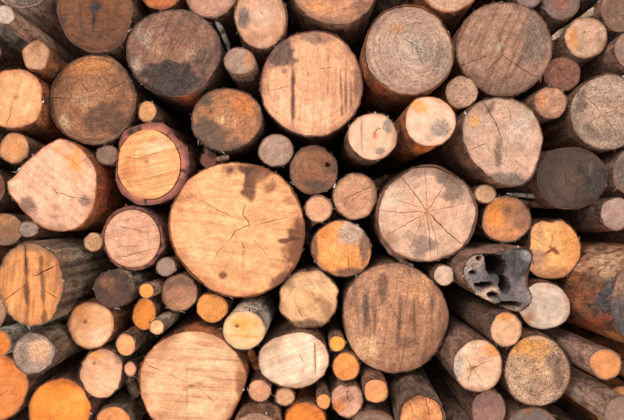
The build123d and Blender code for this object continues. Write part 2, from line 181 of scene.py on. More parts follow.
# The logs of one node of the frame, from left to right: the ring round each end and the plane it is cut on
def logs_of(node):
    mesh = frame["nodes"][node].data
    spots = np.empty(len(mesh.vertices) * 3)
    mesh.vertices.foreach_get("co", spots)
    spots = np.round(spots.reshape(-1, 3), 5)
    spots, index = np.unique(spots, axis=0, return_inverse=True)
    index = index.ravel()
    mesh.calc_loop_triangles()
    triangles = np.empty(len(mesh.loop_triangles) * 3, int)
    mesh.loop_triangles.foreach_get("vertices", triangles)
    triangles = index[triangles].reshape(-1, 3)
    group = np.arange(len(spots))
    while True:
        lowest = group[triangles].min(axis=1)
        before = group.copy()
        for side in range(3):
            np.minimum.at(group, triangles[:, side], lowest)
        group = group[group]
        if (group == before).all():
            break
    logs = []
    for name in np.unique(group[triangles[:, 0]]):
        body = spots[group == name]
        in_front, behind = body[:, 1] < body[:, 1].min() + 0.03, body[:, 1] > body[:, 1].max() - 0.03
        logs.append([body[in_front], body[behind]])
    return sorted(logs, key=lambda ends: ends[0][:, 0].mean())


# The distance of a ring from its middle in any direction. A sector's farthest point counts, points far inside
# their neighbours are left out, and the corners of the ring are rounded.
def ring_reach(ring, centre):
    sectors, steps, too_far_in = 56, 180, 0.78
    away = ring[:, [0, 2]] - centre[[0, 2]]
    angle = np.arctan2(away[:, 1], away[:, 0])
    order = np.argsort(angle)
    angle, reach = angle[order], np.hypot(*away[order].T)
    sector = np.clip(((angle + math.pi) / (2 * math.pi) * sectors).astype(int), 0, sectors - 1)
    keep = np.array([np.flatnonzero(sector == k)[reach[sector == k].argmax()] for k in np.unique(sector)])
    angle, reach = angle[keep], reach[keep]
    widest = np.max([np.roll(reach, shift) for shift in (-2, -1, 0, 1, 2)], axis=0)
    keep = reach > too_far_in * widest
    angle = np.concatenate([angle[keep] + turn for turn in (-2 * math.pi, 0, 2 * math.pi)])
    turn = np.linspace(-math.pi, math.pi, steps + 1)
    full = np.interp(turn, angle, np.tile(reach[keep], 3))[:-1]
    soft = np.roll(full, 2) + 2 * np.roll(full, 1) + 3 * full
    soft = (soft + 2 * np.roll(full, -1) + np.roll(full, -2)) / 9
    soft *= full.mean() / soft.mean()
    return turn, np.append(soft, soft[0])


# One end of a log: its middle, the slope of its cut, and its outline
def read_end(ring):
    centre = (ring.min(axis=0) + ring.max(axis=0)) / 2
    away = np.column_stack((np.ones(len(ring)), ring[:, 0] - centre[0], ring[:, 2] - centre[2]))
    centre[1], slope_x, slope_z = np.linalg.lstsq(away, ring[:, 1], rcond=None)[0]
    turn, reach = ring_reach(ring, centre)
    return centre, np.array((slope_x, slope_z)), turn, reach


# Each bark: its relief in metres, the size of its scales across and along, how flat they are from 0 to 1, and
# its main, deep and pale colours
BARKS = {
    "brown": (0.0024, 0.030, 0.16, 0.3, (158, 106, 78), (70, 47, 37), (200, 152, 118)),
    "orange": (0.0020, 0.045, 0.12, 0.9, (204, 112, 54), (112, 62, 36), (226, 152, 92)),
    "grey": (0.0013, 0.040, 0.20, 0.1, (176, 130, 108), (92, 63, 51), (206, 164, 140)),
    "mossy": (0.0058, 0.026, 0.09, 0.0, (146, 114, 90), (46, 35, 28), (206, 182, 150)),
    "silver": (0.0010, 0.030, 0.35, 0.0, (202, 158, 136), (122, 86, 70), (226, 196, 172)),
    "birch": (0.0010, 0.050, 0.04, 0.2, (222, 208, 188), (110, 94, 80), (240, 232, 218)),
    "mauve": (0.0032, 0.040, 0.12, 0.5, (156, 92, 76), (86, 52, 44), (190, 134, 112)),
    "fibrous": (0.0062, 0.014, 0.50, 0.0, (176, 144, 114), (52, 39, 31), (220, 196, 166)),
    "dark": (0.0022, 0.030, 0.14, 0.3, (108, 74, 57), (46, 32, 26), (148, 106, 82)),
}

# What a log looks like unless it says otherwise. Lengths are in metres, turns in degrees, strengths from 0.
# What lies on a face is placed as it is seen from the viewpoint, in steps of 3.2 mm to the right and down.
# A patch is its place, half width, half height, lean, softness, colour and strength. A crack is its width in
# millimetres and the places it runs through. A hollow is its place, half width, half height and depth. The
# tone multiplies the colours of the wood and of the patches, which makes the whole log darker or warmer.
PLAIN = dict(
    wood=(208, 162, 120), rim=(156, 114, 82), heart=(214, 172, 128), tone=(1, 1, 1), seen=(0, 0), pith=(0, 0),
    rings=0.35, saw=0.4, saw_turn=35, rays=0.3, specks=0.4, dome=0.0, patches=(), cracks=(), hollows=(),
    bark="brown", bark_thick=0.006, bark_edge=1.0, wood_round=None, gap=0.25, lumps=0.0, skin_patches=(),
)
SPACING_SEEN, SPACING_UNSEEN = 0.0095, 0.026
FIRST_ROW_SEEN, FIRST_ROW_UNSEEN, LAST_ROW = 0.010, 0.04, 0.012
LONGEST_ROW_IN_AIR, LONGEST_ROW_INSIDE = 0.065, 0.15
THIN_BARK, LOBED_BARK = 0.015, 0.012
CRACK_DEPTH, GAP_DEPTH = 0.007, 0.007
RINGS_OF_BARK = 5


# How far the bark stands off the outline, from 0 to 1, at points on the unrolled skin
def bark_height(skin, bark, seed):
    across, along, plates = BARKS[bark][1:4]
    stretched = skin * (1, across / along, 1)
    ridges = np.clip(1 - np.abs(2 * noise(stretched, across * 0.8, seed + 9) - 1) * 1.6, 0, 1)
    height = layered(stretched, across, seed, 3) * 0.6 + ridges * 0.4
    return height * (1 - plates) + np.floor(height * 4.5) / 4.5 * plates


# How far out places lie in an oval patch that leans by so many degrees: 0 at its middle and 1 on its edge
def in_patch(right, up, wide, high, lean):
    lean = math.radians(lean)
    along = (right * math.cos(lean) + up * math.sin(lean)) / wide
    return np.hypot(along, (up * math.cos(lean) - right * math.sin(lean)) / high)


# One log as mesh data: the bark from end to end first, then the two sawn ends
class Log:
    def __init__(self, ends, look, seed, in_view, open_air):
        self.look, self.seed, self.in_view, self.open_air = {**PLAIN, **look}, seed, in_view, open_air
        self.front, self.front_slope, self.front_turn, self.front_reach = read_end(ends[0])
        self.rear, self.rear_slope, self.rear_turn, self.rear_reach = read_end(ends[1])
        self.size, self.axis = self.front_reach.mean(), self.rear - self.front
        self.length = self.axis[1]
        self.pixel = METRES_PER_PIXEL * (self.front[1] - eye.y) / VIEW_DISTANCE
        self.main, self.deep, self.pale = (linear(colour) for colour in BARKS[self.look["bark"]][4:])
        spacing = SPACING_SEEN if in_view else SPACING_UNSEEN
        self.around = int(np.clip(2 * math.pi * self.size / spacing, 26, 130))
        self.turns = np.arange(self.around) * 2 * math.pi / self.around - math.pi
        thinned = 0.62 if self.look["bark_thick"] < THIN_BARK else 1.0
        self.thick = self.look["bark_thick"] * np.clip(self.size / 0.1, 0.35, 1.0) * thinned
        self.spots, self.tints, self.skins, self.marks, self.spokes = [], [], [], [], []
        self.faces, self.kinds = [], []
        self.side()
        self.sawn_end(self.front, self.spots[0], 0, at_back=False)
        self.sawn_end(self.rear, self.spots[self.rows - 1], (self.rows - 1) * self.around, at_back=True)

    # The rows of points along the bark, close together near the front end and wider apart behind it
    def runs(self):
        step, growth = (FIRST_ROW_SEEN, 1.13) if self.in_view else (FIRST_ROW_UNSEEN, 1.2)
        longest = LONGEST_ROW_IN_AIR if self.open_air else LONGEST_ROW_INSIDE
        runs = [0.0]
        while runs[-1] < self.length - 0.05:
            runs.append(runs[-1] + step)
            step = min(step * growth, longest)
        return [run for run in runs if run < self.length - 0.03] + [self.length - LAST_ROW, self.length]

    def side(self):
        around, step = self.around, np.arange(self.around)
        runs = self.runs()
        for row, run in enumerate(runs):
            self.bark_row(run)
            self.marks.append(np.tile((0.0, 0.0, self.look["specks"], 0.0), (around, 1)))
            self.spokes.append(np.zeros((around, 3)))
            if row:
                here, there = row * around + step, np.roll(step, -1) + row * around
                self.faces.append(np.column_stack((here - around, there - around, there)))
                self.faces.append(np.column_stack((here - around, there, here)))
        self.rows, self.total = len(runs), len(runs) * around
        self.kinds.append(np.ones(2 * (self.total - around), int))

    def bark_row(self, run):
        turns, seed, share = self.turns, self.seed, run / self.length
        relief = min(BARKS[self.look["bark"]][0], self.size * 0.05)
        reach = np.interp(turns, self.front_turn, self.front_reach) * (1 - share)
        reach = reach + np.interp(turns, self.rear_turn, self.rear_reach) * share
        level = np.full(self.around, run + seed * 3.1)
        skin = np.column_stack((np.cos(turns) * reach, level, np.sin(turns) * reach))
        height = bark_height(skin, self.look["bark"], seed)
        reach = reach + relief * (2 * height - 1.35)
        if run == 0.0 and self.in_view:
            coarse, fine = noise(skin, 0.011, seed + 8) - 0.6, noise(skin, 0.005, seed + 9) - 0.6
            reach = reach + 0.0024 * coarse + 0.0016 * fine
        across = np.column_stack((np.cos(turns), np.sin(turns))) * reach[:, None]
        level = np.zeros(self.around)
        spot = self.front + self.axis * share + np.column_stack((across[:, 0], level, across[:, 1]))
        near_end = np.clip(1.25 - min(run, self.length - run) / 0.2, 0, 1)
        spot[:, 1] += near_end * (across @ (self.front_slope * (1 - share) + self.rear_slope * share))
        self.spots.append(spot)
        self.skins.append(skin)
        self.tints.append(self.bark_colour(run, spot, skin, height))

    # A colour of the look, multiplied by the log's tone
    def toned(self, colour):
        return np.minimum(255, np.round(np.multiply(colour, self.look["tone"])))

    def bark_colour(self, run, spot, skin, height):
        patchy = layered(skin * (1, 0.3, 1), 0.12, self.seed + 40, 2)
        tint = blend(np.tile(self.deep, (self.around, 1)), self.main, np.clip(height * 1.8 - 0.35, 0, 1))
        dusty = np.clip(patchy * 3.2 - 1.5, 0, 1) * np.clip(height * 2 - 0.6, 0, 1)
        tint = blend(tint, self.pale, dusty)
        if run == 0.0:
            tint = tint * (0.35 + 0.35 * noise(skin, 0.02, self.seed + 44))[:, None]
        for u, v, wide, high, lean, soft, colour, strength in self.look["skin_patches"]:
            scale = METRES_PER_PIXEL * (spot[:, 1] - eye.y) / VIEW_DISTANCE
            right = PICTURE_WIDE / 2 + (spot[:, 0] - eye.x) / scale - u
            up = v - PICTURE_HIGH / 2 - (eye.z - spot[:, 2]) / scale
            ragged = (layered(skin, 0.03, self.seed + 85, 3) - 0.5) * 1.5
            cover = np.clip((1 + ragged - in_patch(right, up, wide, high, lean)) / soft, 0, 1)
            tint = blend(tint, linear(self.toned(colour)), cover * strength)
        return tint

    # A place on the face, in metres from its middle, of a place seen from the viewpoint
    def from_view(self, u, v):
        seen = self.look["seen"]
        return np.array(((u - seen[0]) * self.pixel, (seen[1] - v) * self.pixel))

    def along_rim(self, points, values):
        return np.interp(np.arctan2(points[:, 1], points[:, 0]), self.turns, values, period=2 * math.pi)

    # The rings of points round a face: the rim, the middle and foot of the bark, the gap, and the wood's edge
    def bark_rings(self, rim, rim_reach, at_back):
        look, seed = self.look, self.seed
        thickness = self.thick * (0.45 + 1.1 * flat_noise(rim, 0.05, seed + 3))
        if look["wood_round"] and not at_back:
            u, v, *half_sizes = look["wood_round"]
            radii = np.array(half_sizes) * self.pixel
            ray, offset = rim / rim_reach[:, None] / radii, self.from_view(u, v) / radii
            along = (ray @ offset) / (ray ** 2).sum(axis=1)
            apart = (offset ** 2).sum() - along ** 2 * (ray ** 2).sum(axis=1)
            reach = along + np.sqrt(np.maximum(1 - apart, 0) / (ray ** 2).sum(axis=1))
            thickness = np.maximum(rim_reach - reach, 0.003)
        open_gap = self.opened(self.turns) * np.minimum(thickness * 0.6, 0.006)
        depths = (thickness * 0.5, thickness * 0.97 - open_gap * 0.3, thickness + 0.0007, thickness + 0.0019)
        return thickness, [rim] + [rim * (1 - depth / rim_reach)[:, None] for depth in depths]

    # How far the bark has come loose from the wood, from 0 to 1, in each direction
    def opened(self, turn):
        return np.clip((round_noise(turn, 0.55, self.seed + 30) - 1 + self.look["gap"]) * 6, 0, 1)

    # The points of the end grain, on a grid of triangles that is shaken a little
    def grain_points(self, rim_reach, thickness, detail):
        steps = np.arange(-1.35 * rim_reach.max(), 1.35 * rim_reach.max(), detail)
        across, up = np.meshgrid(steps, steps * 0.87)
        across = across + (np.arange(len(steps)) % 2)[:, None] * detail / 2
        inside = np.column_stack((across.ravel(), up.ravel()))
        inside += (flat_noise(inside, detail * 1.3, self.seed + 5)[:, None] - 0.5) * detail * 0.5
        limit, thick_at = self.along_rim(inside, rim_reach), self.along_rim(inside, thickness)
        return inside[np.hypot(*inside.T) < limit - thick_at - 0.003 - detail * 0.3]

    # A drying crack: its middle line, the way across it and half its width, up to the bark and older cracks
    def crack(self, wide, path, rim_reach, grooves):
        path = np.array([self.from_view(*point) for point in path])
        walk = np.concatenate(([0], np.cumsum(np.hypot(*np.diff(path, axis=0).T))))
        along = np.linspace(0, walk[-1], max(5, int(walk[-1] / 0.004)))
        middle = np.column_stack([np.interp(along, walk, path[:, side]) for side in (0, 1)])
        heading = np.gradient(middle, axis=0)
        heading /= np.maximum(np.hypot(*heading.T)[:, None], 1e-9)
        sideways = np.column_stack((-heading[:, 1], heading[:, 0]))
        wave = flat_noise(middle, 0.012, self.seed + 70)
        middle = middle + sideways * (wave[:, None] - 0.5) * 0.005
        half = wide / 2 * np.sqrt(np.clip(1 - np.linspace(-0.75, 1, len(middle)) ** 2, 0.03, 1))
        half = half * (0.6 + 0.8 * flat_noise(middle, 0.01, self.seed + 71))
        keep = np.hypot(*middle.T) < self.along_rim(middle, rim_reach) - self.thick * 1.2 - 0.003
        for old in grooves:
            away = np.hypot(*(middle[:, None] - old[None]).transpose(2, 0, 1)).min(axis=1)
            keep &= away > wide * 0.6 + 0.002
        return middle[keep], sideways[keep], half[keep]

    # The relief of a face and the painted shade in its openings (the gap under loose bark, the cracks and the
    # hollows), at points numbered by the line that each came from
    def face_relief(self, face, origin, grooves, ragged, at_back):
        look, seed, flat, found = self.look, self.seed, face["flat"], face["found"]
        teeth = np.column_stack((face["saw_across"], face["saw_along"] * 0.06, face["saw_across"] * 0))
        height = (noise(teeth, 0.009, seed + 20) - 0.5) * 0.0016 * look["saw"]
        height = height + (layered(flat, 0.02, seed + 21, 2) - 0.5) * 0.0012
        height = height + look["dome"] * self.size * 0.05 * (1 - (face["reach"] / face["edge"]) ** 2)
        height = height + look["lumps"] * (layered(flat, 0.035, seed + 23, 3) - 0.6)
        in_gap = (origin >= 3 * self.around) & (origin < 4 * self.around)
        opened = self.opened(face["turn"])
        height -= np.where(in_gap, GAP_DEPTH * opened + 0.0004, 0)
        # Painted shade in the gap where the bark has come loose, on top of the sunken geometry
        dark = np.where(in_gap, 0.3 + 0.7 * opened, 0)
        start = RINGS_OF_BARK * self.around
        for middle in grooves:
            in_crack = (origin >= start) & (origin < start + len(middle))
            height -= np.where(in_crack, CRACK_DEPTH, 0)
            # Painted shade down each crack, on top of its groove
            dark = np.where(in_crack, 1.0, dark)
            start += 3 * len(middle)
        for u, v, wide, high, depth in look["hollows"] if self.in_view and not at_back else ():
            away = (found - self.from_view(u, v)) / (wide * self.pixel, high * self.pixel)
            inner = np.clip((1 + ragged * 0.9 - np.hypot(*away.T)) * 2.4, 0, 1)
            height -= depth * inner * (0.75 + 0.5 * noise(flat, 0.02, seed + 90))
            # Painted shade inside each hollow, on top of its depth
            dark = np.maximum(dark, np.clip(inner * 1.3, 0, 0.93))
        return height, dark

    # The colour of the wood from heart to rim, with its stains, and the strength of its specks
    def wood_colour(self, face, ragged, at_back):
        look, seed, flat, found = self.look, self.seed, face["flat"], face["found"]
        wander = (layered(flat, 0.05, seed + 50, 2) - 0.5) * 0.35
        spread = np.clip(face["reach"] / face["edge"] + wander, 0, 1)
        heart, wood, rim = (linear(self.toned(look[place])) for place in ("heart", "wood", "rim"))
        tint = blend(np.tile(heart, (len(found), 1)), wood, np.clip(spread * 1.6, 0, 1))
        tint = blend(tint, rim, np.clip(spread * 5 - 4.1, 0, 1))
        tint = tint * (0.84 + 0.32 * layered(flat, 0.07, seed + 60, 2)[:, None]) * (1.02, 0.965, 1.0)
        specks = np.full(len(found), float(look["specks"]))
        for u, v, wide, high, lean, soft, colour, strength in () if at_back else look["patches"]:
            away = found - self.from_view(u, v)
            far = in_patch(away[:, 0], away[:, 1], wide * self.pixel, high * self.pixel, lean)
            cover = np.clip((1 + ragged - far) / (0.6 * soft), 0, 1) * strength
            toned = self.toned(colour)
            tint = blend(tint, linear(toned), cover)
            dull = np.clip(1.6 - (max(toned) - min(toned)) / 40, 0, 1)
            specks = specks + cover * dull * 0.9
        return tint, specks

    # The colour of the sawn bark, broken into layers, and in thick bark painted shade in the notches between
    # its lobes
    def cut_bark(self, face, dark, bark_here):
        outer = np.clip((face["edge"] - face["reach"]) / self.thick, 0, 1)[:, None]
        broken = flat_noise(face["found"], 0.009, self.seed + 33)[:, None]
        if self.look["bark_thick"] > LOBED_BARK:
            creased = np.abs(round_noise(face["turn"], 0.9, self.seed + 34, radius=2.4) - 0.5)
            broken = 0.25 + 0.75 * np.clip(creased * 11, 0, 1)[:, None] * (0.6 + 0.4 * broken)
            # Painted shade in the notches between the lobes of thick bark
            dark = np.where(bark_here, np.maximum(dark, np.clip(1.5 - creased * 30, 0, 0.92)), dark)
        lit = self.main * broken * (0.25 + 0.5 * outer) * self.look["bark_edge"]
        return self.deep * (0.75 - broken * 0.5) + lit, dark

    def sawn_end(self, centre, spot, rim_base, at_back):
        look, seed, around = self.look, self.seed, self.around
        rim = spot[:, [0, 2]] - centre[[0, 2]]
        rim_reach = np.hypot(*rim.T)
        shown = self.in_view and not at_back
        part, least, most = (0.06, 0.003, 0.0051) if shown else (0.15, 0.004, 0.02)
        detail = float(np.clip(self.size * part, least, most))
        thickness, lines = self.bark_rings(rim, rim_reach, at_back)
        inside = self.grain_points(rim_reach, thickness, detail)
        start, grooves = RINGS_OF_BARK * around, []
        edges = [(k, k + 1 if (k + 1) % around else k + 1 - around) for k in range(start)]
        for wide, *path in look["cracks"] if shown else ():
            wide = wide / 1000
            middle, sideways, half = self.crack(wide, path, rim_reach, grooves)
            if len(middle) < 3:
                continue
            away = np.hypot(*(inside[:, None] - middle[None]).transpose(2, 0, 1)).min(axis=1)
            inside = inside[away > wide * 0.55 + 0.0016]
            grooves.append(middle)
            lines += [middle, middle + sideways * half[:, None], middle - sideways * half[:, None]]
            edges += [(start + k, start + k + 1) for k in range(len(middle) - 1)]
            start += 3 * len(middle)
        points = [Vector(point) for point in np.vstack(lines + [inside])]
        found, _, triangles, origins, _, _ = delaunay_2d_cdt(points, edges, [], 1, 1e-6)
        found = np.array([tuple(point) for point in found])
        origin = np.array([source[0] if source else -1 for source in origins])
        saw = math.radians(look["saw_turn"])
        face = dict(
            found=found, turn=np.arctan2(found[:, 1], found[:, 0]), reach=np.hypot(*found.T),
            edge=self.along_rim(found, rim_reach),
            flat=np.column_stack((found, np.full(len(found), 0.11 * seed))),
            saw_along=found @ (math.cos(saw), math.sin(saw)),
            saw_across=found @ (-math.sin(saw), math.cos(saw)),
        )
        ragged = (layered(face["flat"], 0.035, seed + 80, 4) - 0.5) * 1.5
        height, dark = self.face_relief(face, origin, grooves, ragged, at_back)
        tint, specks = self.wood_colour(face, ragged, at_back)
        bark_here = (origin >= 0) & (origin < 3 * around)
        bark_tint, dark = self.cut_bark(face, dark, bark_here)
        tint = np.where(bark_here[:, None], bark_tint, tint)
        wood_here = np.where(bark_here, 0.0, 1.0)
        from_pith = found - np.array(look["pith"]) * self.size
        ring_at = np.hypot(*from_pith.T) * (1 + 0.3 * (self.size / face["edge"] - 1))
        ring_at = ring_at + (noise(face["flat"], 0.06, seed + 11) - 0.5) * 0.012
        slope = np.linalg.lstsq(rim, spot[:, 1] - centre[1], rcond=None)[0]
        depth = centre[1] + found @ slope + (height if at_back else -height)
        on_rim = (origin >= 0) & (origin < around)
        fresh = ~on_rim
        index = np.where(on_rim, rim_base + origin, self.total + np.cumsum(fresh) - 1)
        self.spots.append(np.column_stack((found[:, 0] + centre[0], depth, found[:, 1] + centre[2]))[fresh])
        self.tints.append(tint[fresh])
        skin = (face["saw_along"] + seed * 1.7, ring_at, face["saw_across"] + seed * 2.3)
        self.skins.append(np.column_stack(skin)[fresh])
        # The fourth mark is painted shade: how dark the openings of the face are painted
        marks = (look["rings"] * wood_here, look["saw"] * wood_here, np.minimum(specks, 1.6), dark)
        self.marks.append(np.column_stack(marks)[fresh])
        self.spokes.append(np.column_stack((from_pith, look["rays"] * wood_here))[fresh])
        self.add_triangles(found, index, triangles, at_back)
        self.total += fresh.sum()

    # The triangles of a face, turned so that each one faces out of the log
    def add_triangles(self, found, index, triangles, at_back):
        triangles = np.array([triangle for triangle in triangles if len(triangle) == 3])
        first, second, third = (found[triangles[:, k]] for k in range(3))
        one, two = second - first, third - first
        area = one[:, 0] * two[:, 1] - one[:, 1] * two[:, 0]
        wrong = area > 0 if at_back else area < 0
        triangles = np.where(wrong[:, None], triangles[:, ::-1], triangles)
        self.faces.append(index[triangles])
        self.kinds.append(np.zeros(len(triangles), int))

    def data(self):
        stacks = (self.spots, self.tints, self.skins, self.marks, self.spokes, self.faces)
        return [np.vstack(part) for part in stacks] + [np.concatenate(self.kinds)]


# A node tree's shorthand: one node with its inputs, each a value or a link
def add(tree, kind, inputs=(), **settings):
    node = tree.nodes.new(kind)
    for name, value in settings.items():
        setattr(node, name, value)
    for socket, value in dict(inputs).items():
        if isinstance(value, bpy.types.NodeSocket):
            tree.links.new(value, node.inputs[socket])
        else:
            node.inputs[socket].default_value = value
    return node


# A material as it is put together
class Paint:
    def __init__(self, name):
        self.material = bpy.data.materials.new(name)
        self.material.use_nodes = True
        self.tree = self.material.node_tree
        self.shader = self.tree.nodes["Principled BSDF"]

    def read(self, name):
        return add(self.tree, "ShaderNodeAttribute", attribute_name=name).outputs

    def maths(self, operation, one, two=0.0, three=0.0, clamp=False):
        inputs = {0: one, 1: two, 2: three}
        return add(self.tree, "ShaderNodeMath", inputs, operation=operation, use_clamp=clamp).outputs[0]

    def times(self, one, two, plus=0.0, clamp=False):
        if isinstance(plus, float) and plus == 0.0:
            return self.maths("MULTIPLY", one, two, clamp=clamp)
        return self.maths("MULTIPLY_ADD", one, two, plus, clamp)

    def split(self, vector):
        return add(self.tree, "ShaderNodeSeparateXYZ", {0: vector}).outputs

    def join(self, x, y, z):
        return add(self.tree, "ShaderNodeCombineXYZ", {0: x, 1: y, 2: z}).outputs[0]

    # From 0 at the low value to 1 at the high one
    def band(self, value, low, high):
        inputs = {"Value": value, "From Min": low, "From Max": high}
        return add(self.tree, "ShaderNodeMapRange", inputs).outputs[0]

    def cloud(self, vector, scale, detail, roughness=0.5, distortion=0.0):
        inputs = {"Vector": vector, "Scale": scale, "Detail": detail, "Roughness": roughness}
        return add(self.tree, "ShaderNodeTexNoise", {**inputs, "Distortion": distortion}).outputs["Fac"]

    def mix(self, share, one, two, blend_type="MIX"):
        two = (*two, 1.0)
        inputs = {0: share, 6: one, 7: two}
        return add(self.tree, "ShaderNodeMix", inputs, data_type="RGBA", blend_type=blend_type).outputs[2]

    # The colour multiplied by a tone, by the share that the strength gives
    def stain(self, colour, strength, tone):
        return self.mix(strength, colour, tone, "MULTIPLY")

    def finish(self, colour, roughness, specular, relief, strength, distance):
        inputs = {"Height": relief, "Strength": strength, "Distance": distance}
        bump = add(self.tree, "ShaderNodeBump", inputs)
        self.tree.links.new(bump.outputs[0], self.shader.inputs["Normal"])
        self.tree.links.new(colour, self.shader.inputs["Base Color"])
        self.shader.inputs["Specular IOR Level"].default_value = specular
        if isinstance(roughness, float):
            self.shader.inputs["Roughness"].default_value = roughness
        else:
            self.tree.links.new(roughness, self.shader.inputs["Roughness"])
        return self.material


# Sawn end grain: rings, saw marks, rays and specks drawn over the painted colour, and painted shade in the
# openings. The skin holds the distance along the saw's stroke, the distance from the pith and the distance
# across the stroke.
def sawn_wood():
    paint = Paint("sawn_wood")
    times, band, cloud = paint.times, paint.band, paint.cloud
    skin, marks, spoke = paint.read("skin")["Vector"], paint.read("marks"), paint.read("spoke")["Vector"]
    stroke_at, ring_at, across_at = paint.split(skin)
    ring_mark, saw_mark, speck_mark = add(paint.tree, "ShaderNodeSeparateColor", {0: marks["Color"]}).outputs
    pith_x, pith_y, ray_mark = paint.split(spoke)
    coarse = times(speck_mark, 0.8, 0.2, clamp=True)

    # Growth rings, of uneven width
    inputs = {"W": times(ring_at, 105.0), "Scale": 1.0, "Detail": 3.0, "Roughness": 0.75}
    uneven = add(paint.tree, "ShaderNodeTexNoise", inputs, noise_dimensions="1D").outputs["Fac"]
    wave = paint.maths("FRACT", times(ring_at, 230.0, times(uneven, 2.5)))
    ring = times(times(paint.maths("POWER", wave, 3.0), 0.6, band(uneven, 0.42, 0.66)), ring_mark)

    # Saw marks, long and thin along the stroke
    thin = cloud(paint.join(times(stroke_at, 9.0), times(across_at, 330.0), 0.0), 1.0, 4.0, 0.6)
    wide = cloud(paint.join(times(stroke_at, 5.0), times(across_at, 60.0), 3.0), 1.0, 2.0)
    saw = times(paint.maths("ADD", band(thin, 0.45, 0.72), band(wide, 0.46, 0.66)), saw_mark)

    # Fine drying checks that run out from the pith, and broad streaks the same way
    angle = paint.maths("ARCTAN2", pith_y, pith_x)
    bend = times(cloud(spoke, 28.0, 2.0), 1.1)
    check_at = paint.join(times(angle, 9.0, bend), times(ring_at, 9.0), times(ray_mark, 7.0))
    checks = cloud(check_at, 1.0, 2.0, 0.6)
    line = band(paint.maths("ABSOLUTE", paint.maths("SUBTRACT", checks, 0.5)), 0.0, 0.022)
    line = paint.maths("SUBTRACT", 1.0, line)
    check = times(times(line, band(ring_at, 0.004, 0.03)), ray_mark)
    streak = cloud(paint.join(times(angle, 26.0), times(ring_at, 30.0), 0.0), 1.0, 3.0, 0.7)

    # Fibre, blotches of grime, coarse grain and specks
    fibre = cloud(skin, 520.0, 3.0, 0.7)
    blotch = cloud(skin, 34.0, 5.0, 0.65)
    grain = cloud(skin, 120.0, 4.0, 0.75)
    speck = times(band(cloud(skin, 170.0, 2.0), 0.55, 0.66), speck_mark)

    colour = paint.stain(paint.read("tint")["Color"], times(ring, 0.7, clamp=True), (0.30, 0.13, 0.05))
    colour = paint.stain(colour, times(saw, 0.52, clamp=True), (0.42, 0.28, 0.20))
    colour = paint.stain(colour, times(check, 1.0, clamp=True), (0.16, 0.09, 0.05))
    grime = times(band(blotch, 0.46, 0.72), times(coarse, 0.5, 0.12))
    colour = paint.stain(colour, grime, (0.46, 0.35, 0.30))
    colour = paint.stain(colour, band(blotch, 0.52, 0.34), (1.27, 1.18, 1.15))
    colour = paint.stain(colour, times(band(fibre, 0.3, 0.8), 0.42), (0.58, 0.47, 0.43))
    colour = paint.stain(colour, times(band(grain, 0.5, 0.72), coarse), (0.38, 0.27, 0.23))
    colour = paint.stain(colour, times(band(grain, 0.48, 0.3), coarse), (1.32, 1.22, 1.24))
    colour = paint.stain(colour, times(band(streak, 0.5, 0.7), times(ray_mark, 0.8)), (0.42, 0.30, 0.22))
    colour = paint.mix(times(speck, 0.75, clamp=True), colour, (0.09, 0.058, 0.044))
    # Painted shade: the cracks, the gap under loose bark, the hollows and the notches of thick bark go nearly
    # black
    colour = paint.mix(marks["Alpha"], colour, (0.012, 0.008, 0.006))
    furrows = times(ring, 0.4, times(check, 1.2, times(saw, 0.5)))
    relief = paint.maths("SUBTRACT", times(fibre, 0.35), furrows)
    return paint.finish(colour, band(blotch, 0.2, 1.25), 0.12, relief, strength=0.6, distance=0.0028)


# Bark: the painted colour broken into scales, with dark furrows, pale dust and a little lichen
def bark_skin():
    paint = Paint("bark")
    times, band, cloud = paint.times, paint.band, paint.cloud
    skin = paint.read("skin")["Vector"]
    inputs = {0: skin, 1: (1.0, 0.32, 1.0)}
    stretched = add(paint.tree, "ShaderNodeVectorMath", inputs, operation="MULTIPLY").outputs[0]
    furrow = cloud(stretched, 62.0, 5.0, 0.65, distortion=0.6)
    inputs = {"Vector": stretched, "Scale": 40.0, "Detail": 3.0}
    torn = add(paint.tree, "ShaderNodeTexNoise", inputs).outputs["Color"]
    inputs = {0: torn, 1: (0.035, 0.035, 0.035), 2: stretched}
    pulled = add(paint.tree, "ShaderNodeVectorMath", inputs, operation="MULTIPLY_ADD").outputs[0]
    inputs = {"Vector": pulled, "Scale": 75.0, "Randomness": 1.0}
    scale = add(paint.tree, "ShaderNodeTexVoronoi", inputs, feature="DISTANCE_TO_EDGE").outputs["Distance"]
    dust = cloud(skin, 210.0, 4.0, 0.7)
    lichen = cloud(skin, 26.0, 6.0, 0.7)
    colour = paint.read("tint")["Color"]
    colour = paint.stain(colour, times(band(furrow, 0.54, 0.38), 0.82), (0.16, 0.12, 0.10))
    colour = paint.stain(colour, times(band(scale, 0.10, 0.0), 0.5), (0.25, 0.19, 0.15))
    colour = paint.mix(times(band(dust, 0.50, 0.70), 0.6), colour, (0.62, 0.46, 0.35))
    colour = paint.mix(times(band(lichen, 0.58, 0.72), 0.3), colour, (0.42, 0.35, 0.28))
    relief = paint.maths("ADD", times(furrow, 1.4, times(dust, 0.3)), times(band(scale, 0.0, 0.12), 0.5))
    return paint.finish(colour, band(dust, -0.9, 0.9), 0.12, relief, strength=0.8, distance=0.004)


wood_material, bark_material = sawn_wood(), bark_skin()


# Keeps what the materials read at each point of a mesh
def store(mesh, name, values):
    kind, field = ("FLOAT_COLOR", "color") if values.shape[1] == 4 else ("FLOAT_VECTOR", "vector")
    layer = mesh.attributes.new(name, kind, "POINT")
    layer.data.foreach_set(field, np.ascontiguousarray(values, dtype=np.float32).ravel())


# All the logs of one node as one object, in place of the frame's plain ones. The rims that show are kept
# for the splinters that are laid on them further down.
rims = []


